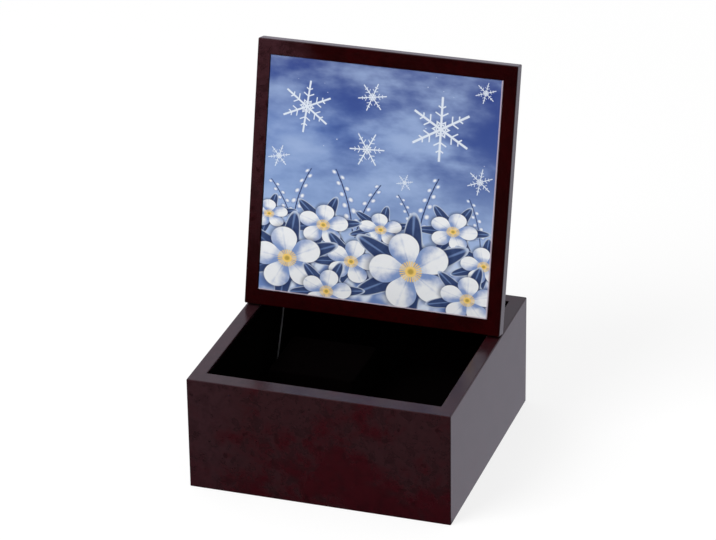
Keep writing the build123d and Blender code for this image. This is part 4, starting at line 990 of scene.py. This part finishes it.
def measured(part, axis):
    """Where a screw sits, which way its head points, and its head and shank sizes."""
    points = [vertex.co.copy() for vertex in part.data.vertices]
    middle = sum(points, Vector()) / len(points)
    levels = [(point - middle).dot(axis) for point in points]
    reach = [((point - middle) - axis * level).length for point, level in zip(points, levels)]
    low, high = min(levels), max(levels)
    low_reach = max(r for r, level in zip(reach, levels) if level < low + SAME_LEVEL)
    high_reach = max(r for r, level in zip(reach, levels) if level > high - SAME_LEVEL)
    head_is_high = high_reach > low_reach
    head_end, shank_end = (high, low) if head_is_high else (low, high)
    widest = max(reach)
    seat_levels = [level for r, level in zip(reach, levels) if r > widest - SAME_LEVEL]
    seat_level = sum(seat_levels) / len(seat_levels)
    return {
        "seat": middle + axis * seat_level, "towards": axis * (1 if head_is_high else -1),
        "head_radius": widest, "head_height": abs(head_end - seat_level),
        "shank_radius": min(low_reach, high_reach), "length": abs(seat_level - shank_end),
    }


print("points within", SAME_LEVEL, "m count as level")

# %% [markdown]
# A screw is measured along its own axis, which follows from what it holds. The screws of the floor
# board and of the movement stand upright, those of the wall brackets go sideways into the walls,
# and those of the lid brackets stand square to the open lid.

# %% Measure the screws
UPWARDS = Vector((0, 0, 1))
SIDEWAYS = Vector((1, 0, 0))
SQUARE_TO_THE_LID = Vector((0, -sin(lid_slope), cos(lid_slope)))
SCREW_AXES = {
    "base_screws": UPWARDS, "movement_screws": UPWARDS, "comb_screws": UPWARDS, "bracket_screws": UPWARDS,
    "wall_bracket_screws": SIDEWAYS, "lid_bracket_screws": SQUARE_TO_THE_LID,
}

screw_seats = {}
for node, axis in SCREW_AXES.items():
    parts = loose_parts(node)
    screw_seats[node] = [measured(part, axis) for part in parts]
    for part in parts:
        bpy.data.objects.remove(part)
    head_width = screw_seats[node][0]["head_radius"] * 2000
    print(node, "has", len(screw_seats[node]), "screws, with heads", round(head_width, 2), "mm across")

# %% [markdown]
# One screw of each size is modelled in the steps that a hand would take. A disc is the head. Its
# upper rim is bevelled round, and its underside is inset, drawn out into the shank, and drawn out
# once more and narrowed into the point.

# %% A blank screw
SCREW_SIDES = 28
RIM_SHARE = 0.7
RIM_SEGMENTS = 4
POINT_SHARE = 0.15
POINT_NARROWS_TO = 0.3


def select_level(mesh, level, kind):
    """In edit mode, selects the faces or edges of which every corner lies at that height."""
    bpy.ops.mesh.select_all(action="DESELECT")
    bpy.ops.object.mode_set(mode="OBJECT")
    for item in getattr(mesh, kind):
        item.select = all(abs(mesh.vertices[index].co.z - level) < 1e-7 for index in item.vertices)
    bpy.ops.object.mode_set(mode="EDIT")


def drawn_down(length):
    bpy.ops.mesh.extrude_region_move(TRANSFORM_OT_translate={"value": (0, 0, -length)})


def blank_screw(head, height, shank, length):
    """A screw on the origin, its head up, without a recess. The first and the third are radii."""
    bpy.ops.object.select_all(action="DESELECT")
    place = (0, 0, height / 2)
    bpy.ops.mesh.primitive_cylinder_add(vertices=SCREW_SIDES, radius=head, depth=height, location=place)
    piece = bpy.context.object
    bpy.ops.object.transform_apply(location=True)
    bpy.ops.object.mode_set(mode="EDIT")
    bpy.ops.mesh.select_mode(type="EDGE")
    select_level(piece.data, height, "edges")
    bpy.ops.mesh.bevel(offset=height * RIM_SHARE, segments=RIM_SEGMENTS, affect="EDGES")
    bpy.ops.mesh.select_mode(type="FACE")
    select_level(piece.data, 0.0, "polygons")
    bpy.ops.mesh.inset(thickness=head - shank)
    drawn_down(length * (1 - POINT_SHARE))
    drawn_down(length * POINT_SHARE)
    bpy.ops.transform.resize(value=(POINT_NARROWS_TO, POINT_NARROWS_TO, 1.0))
    bpy.ops.object.mode_set(mode="OBJECT")
    return piece


print("a screw's point is", POINT_SHARE, "of its length")

# %% [markdown]
# Two crossed wedges cut the recess, as the header's punch does. A wedge is a cube that sits astride
# the head's top, with its lower face made smaller. A boolean takes it out of the head.

# %% The cross recess
RECESS_REACH = 0.62
RECESS_WIDTH = 0.2
RECESS_DEPTH = 0.6
RECESS_NARROWS_TO = 0.55
SCREW_SMOOTH_UNDER = radians(32)


def recess_wedge(head, height, turn):
    bpy.ops.object.select_all(action="DESELECT")
    bpy.ops.mesh.primitive_cube_add(size=1, location=(0, 0, height), rotation=(0, 0, turn))
    wedge = bpy.context.object
    wedge.scale = (head * 2 * RECESS_REACH, head * 2 * RECESS_WIDTH, height * 2 * RECESS_DEPTH)
    bpy.ops.object.transform_apply(location=True, rotation=True, scale=True)
    bpy.ops.object.mode_set(mode="EDIT")
    bpy.ops.mesh.select_mode(type="FACE")
    select_level(wedge.data, height * (1 - RECESS_DEPTH), "polygons")
    bpy.ops.transform.resize(value=(RECESS_NARROWS_TO, RECESS_NARROWS_TO, 1.0))
    bpy.ops.object.mode_set(mode="OBJECT")
    return wedge


def cross_screw(size):
    """A screw on the origin, its head up, with a rounded rim and a cross recess."""
    piece = blank_screw(size["head_radius"], size["head_height"], size["shank_radius"], size["length"])
    for turn in (0, pi / 2):
        wedge = recess_wedge(size["head_radius"], size["head_height"], turn)
        only(piece)
        cut = piece.modifiers.new("recess", "BOOLEAN")
        cut.operation = "DIFFERENCE"
        cut.object = wedge
        bpy.ops.object.modifier_apply(modifier=cut.name)
        bpy.data.objects.remove(wedge)
    bpy.ops.object.shade_smooth_by_angle(angle=SCREW_SMOOTH_UNDER)
    return piece


print("a recess is", RECESS_DEPTH, "of its head's height deep")

# %% [markdown]
# The screw is copied to every seat, each copy with its own mesh and its cross turned its own way,
# since no one lines screws up in a cheap box. The copies of one node are joined into one piece.

# %% Set the screws
FIRST_TURN = 0.3
TURN_STEP = 0.7


def set_screw(model, seat, turn):
    """A copy of the model on a seat, its head the way that the seat's points."""
    only(model)
    bpy.ops.object.duplicate()
    copy = bpy.context.object
    turned = seat["towards"].to_track_quat("Z", "Y").to_matrix() @ Matrix.Rotation(turn, 3, "Z")
    copy.matrix_world = Matrix.Translation(seat["seat"]) @ turned.to_4x4()
    bpy.ops.object.transform_apply(location=True, rotation=True, scale=True)
    return copy


for node, seats in screw_seats.items():
    model = cross_screw(seats[0])
    copies = [set_screw(model, seat, TURN_STEP * number + FIRST_TURN) for number, seat in enumerate(seats)]
    bpy.data.objects.remove(model)
    only(copies[0])
    for copy in copies:
        copy.select_set(True)
    bpy.ops.object.join()
    piece = bpy.context.object
    piece.name = node + "_cross"
    piece.data.materials.clear()
    piece.data.materials.append(finishes[slot_of_node[node]])
    carry(piece, node)

# %% [markdown] The dressed object must be as large as the CAD model.
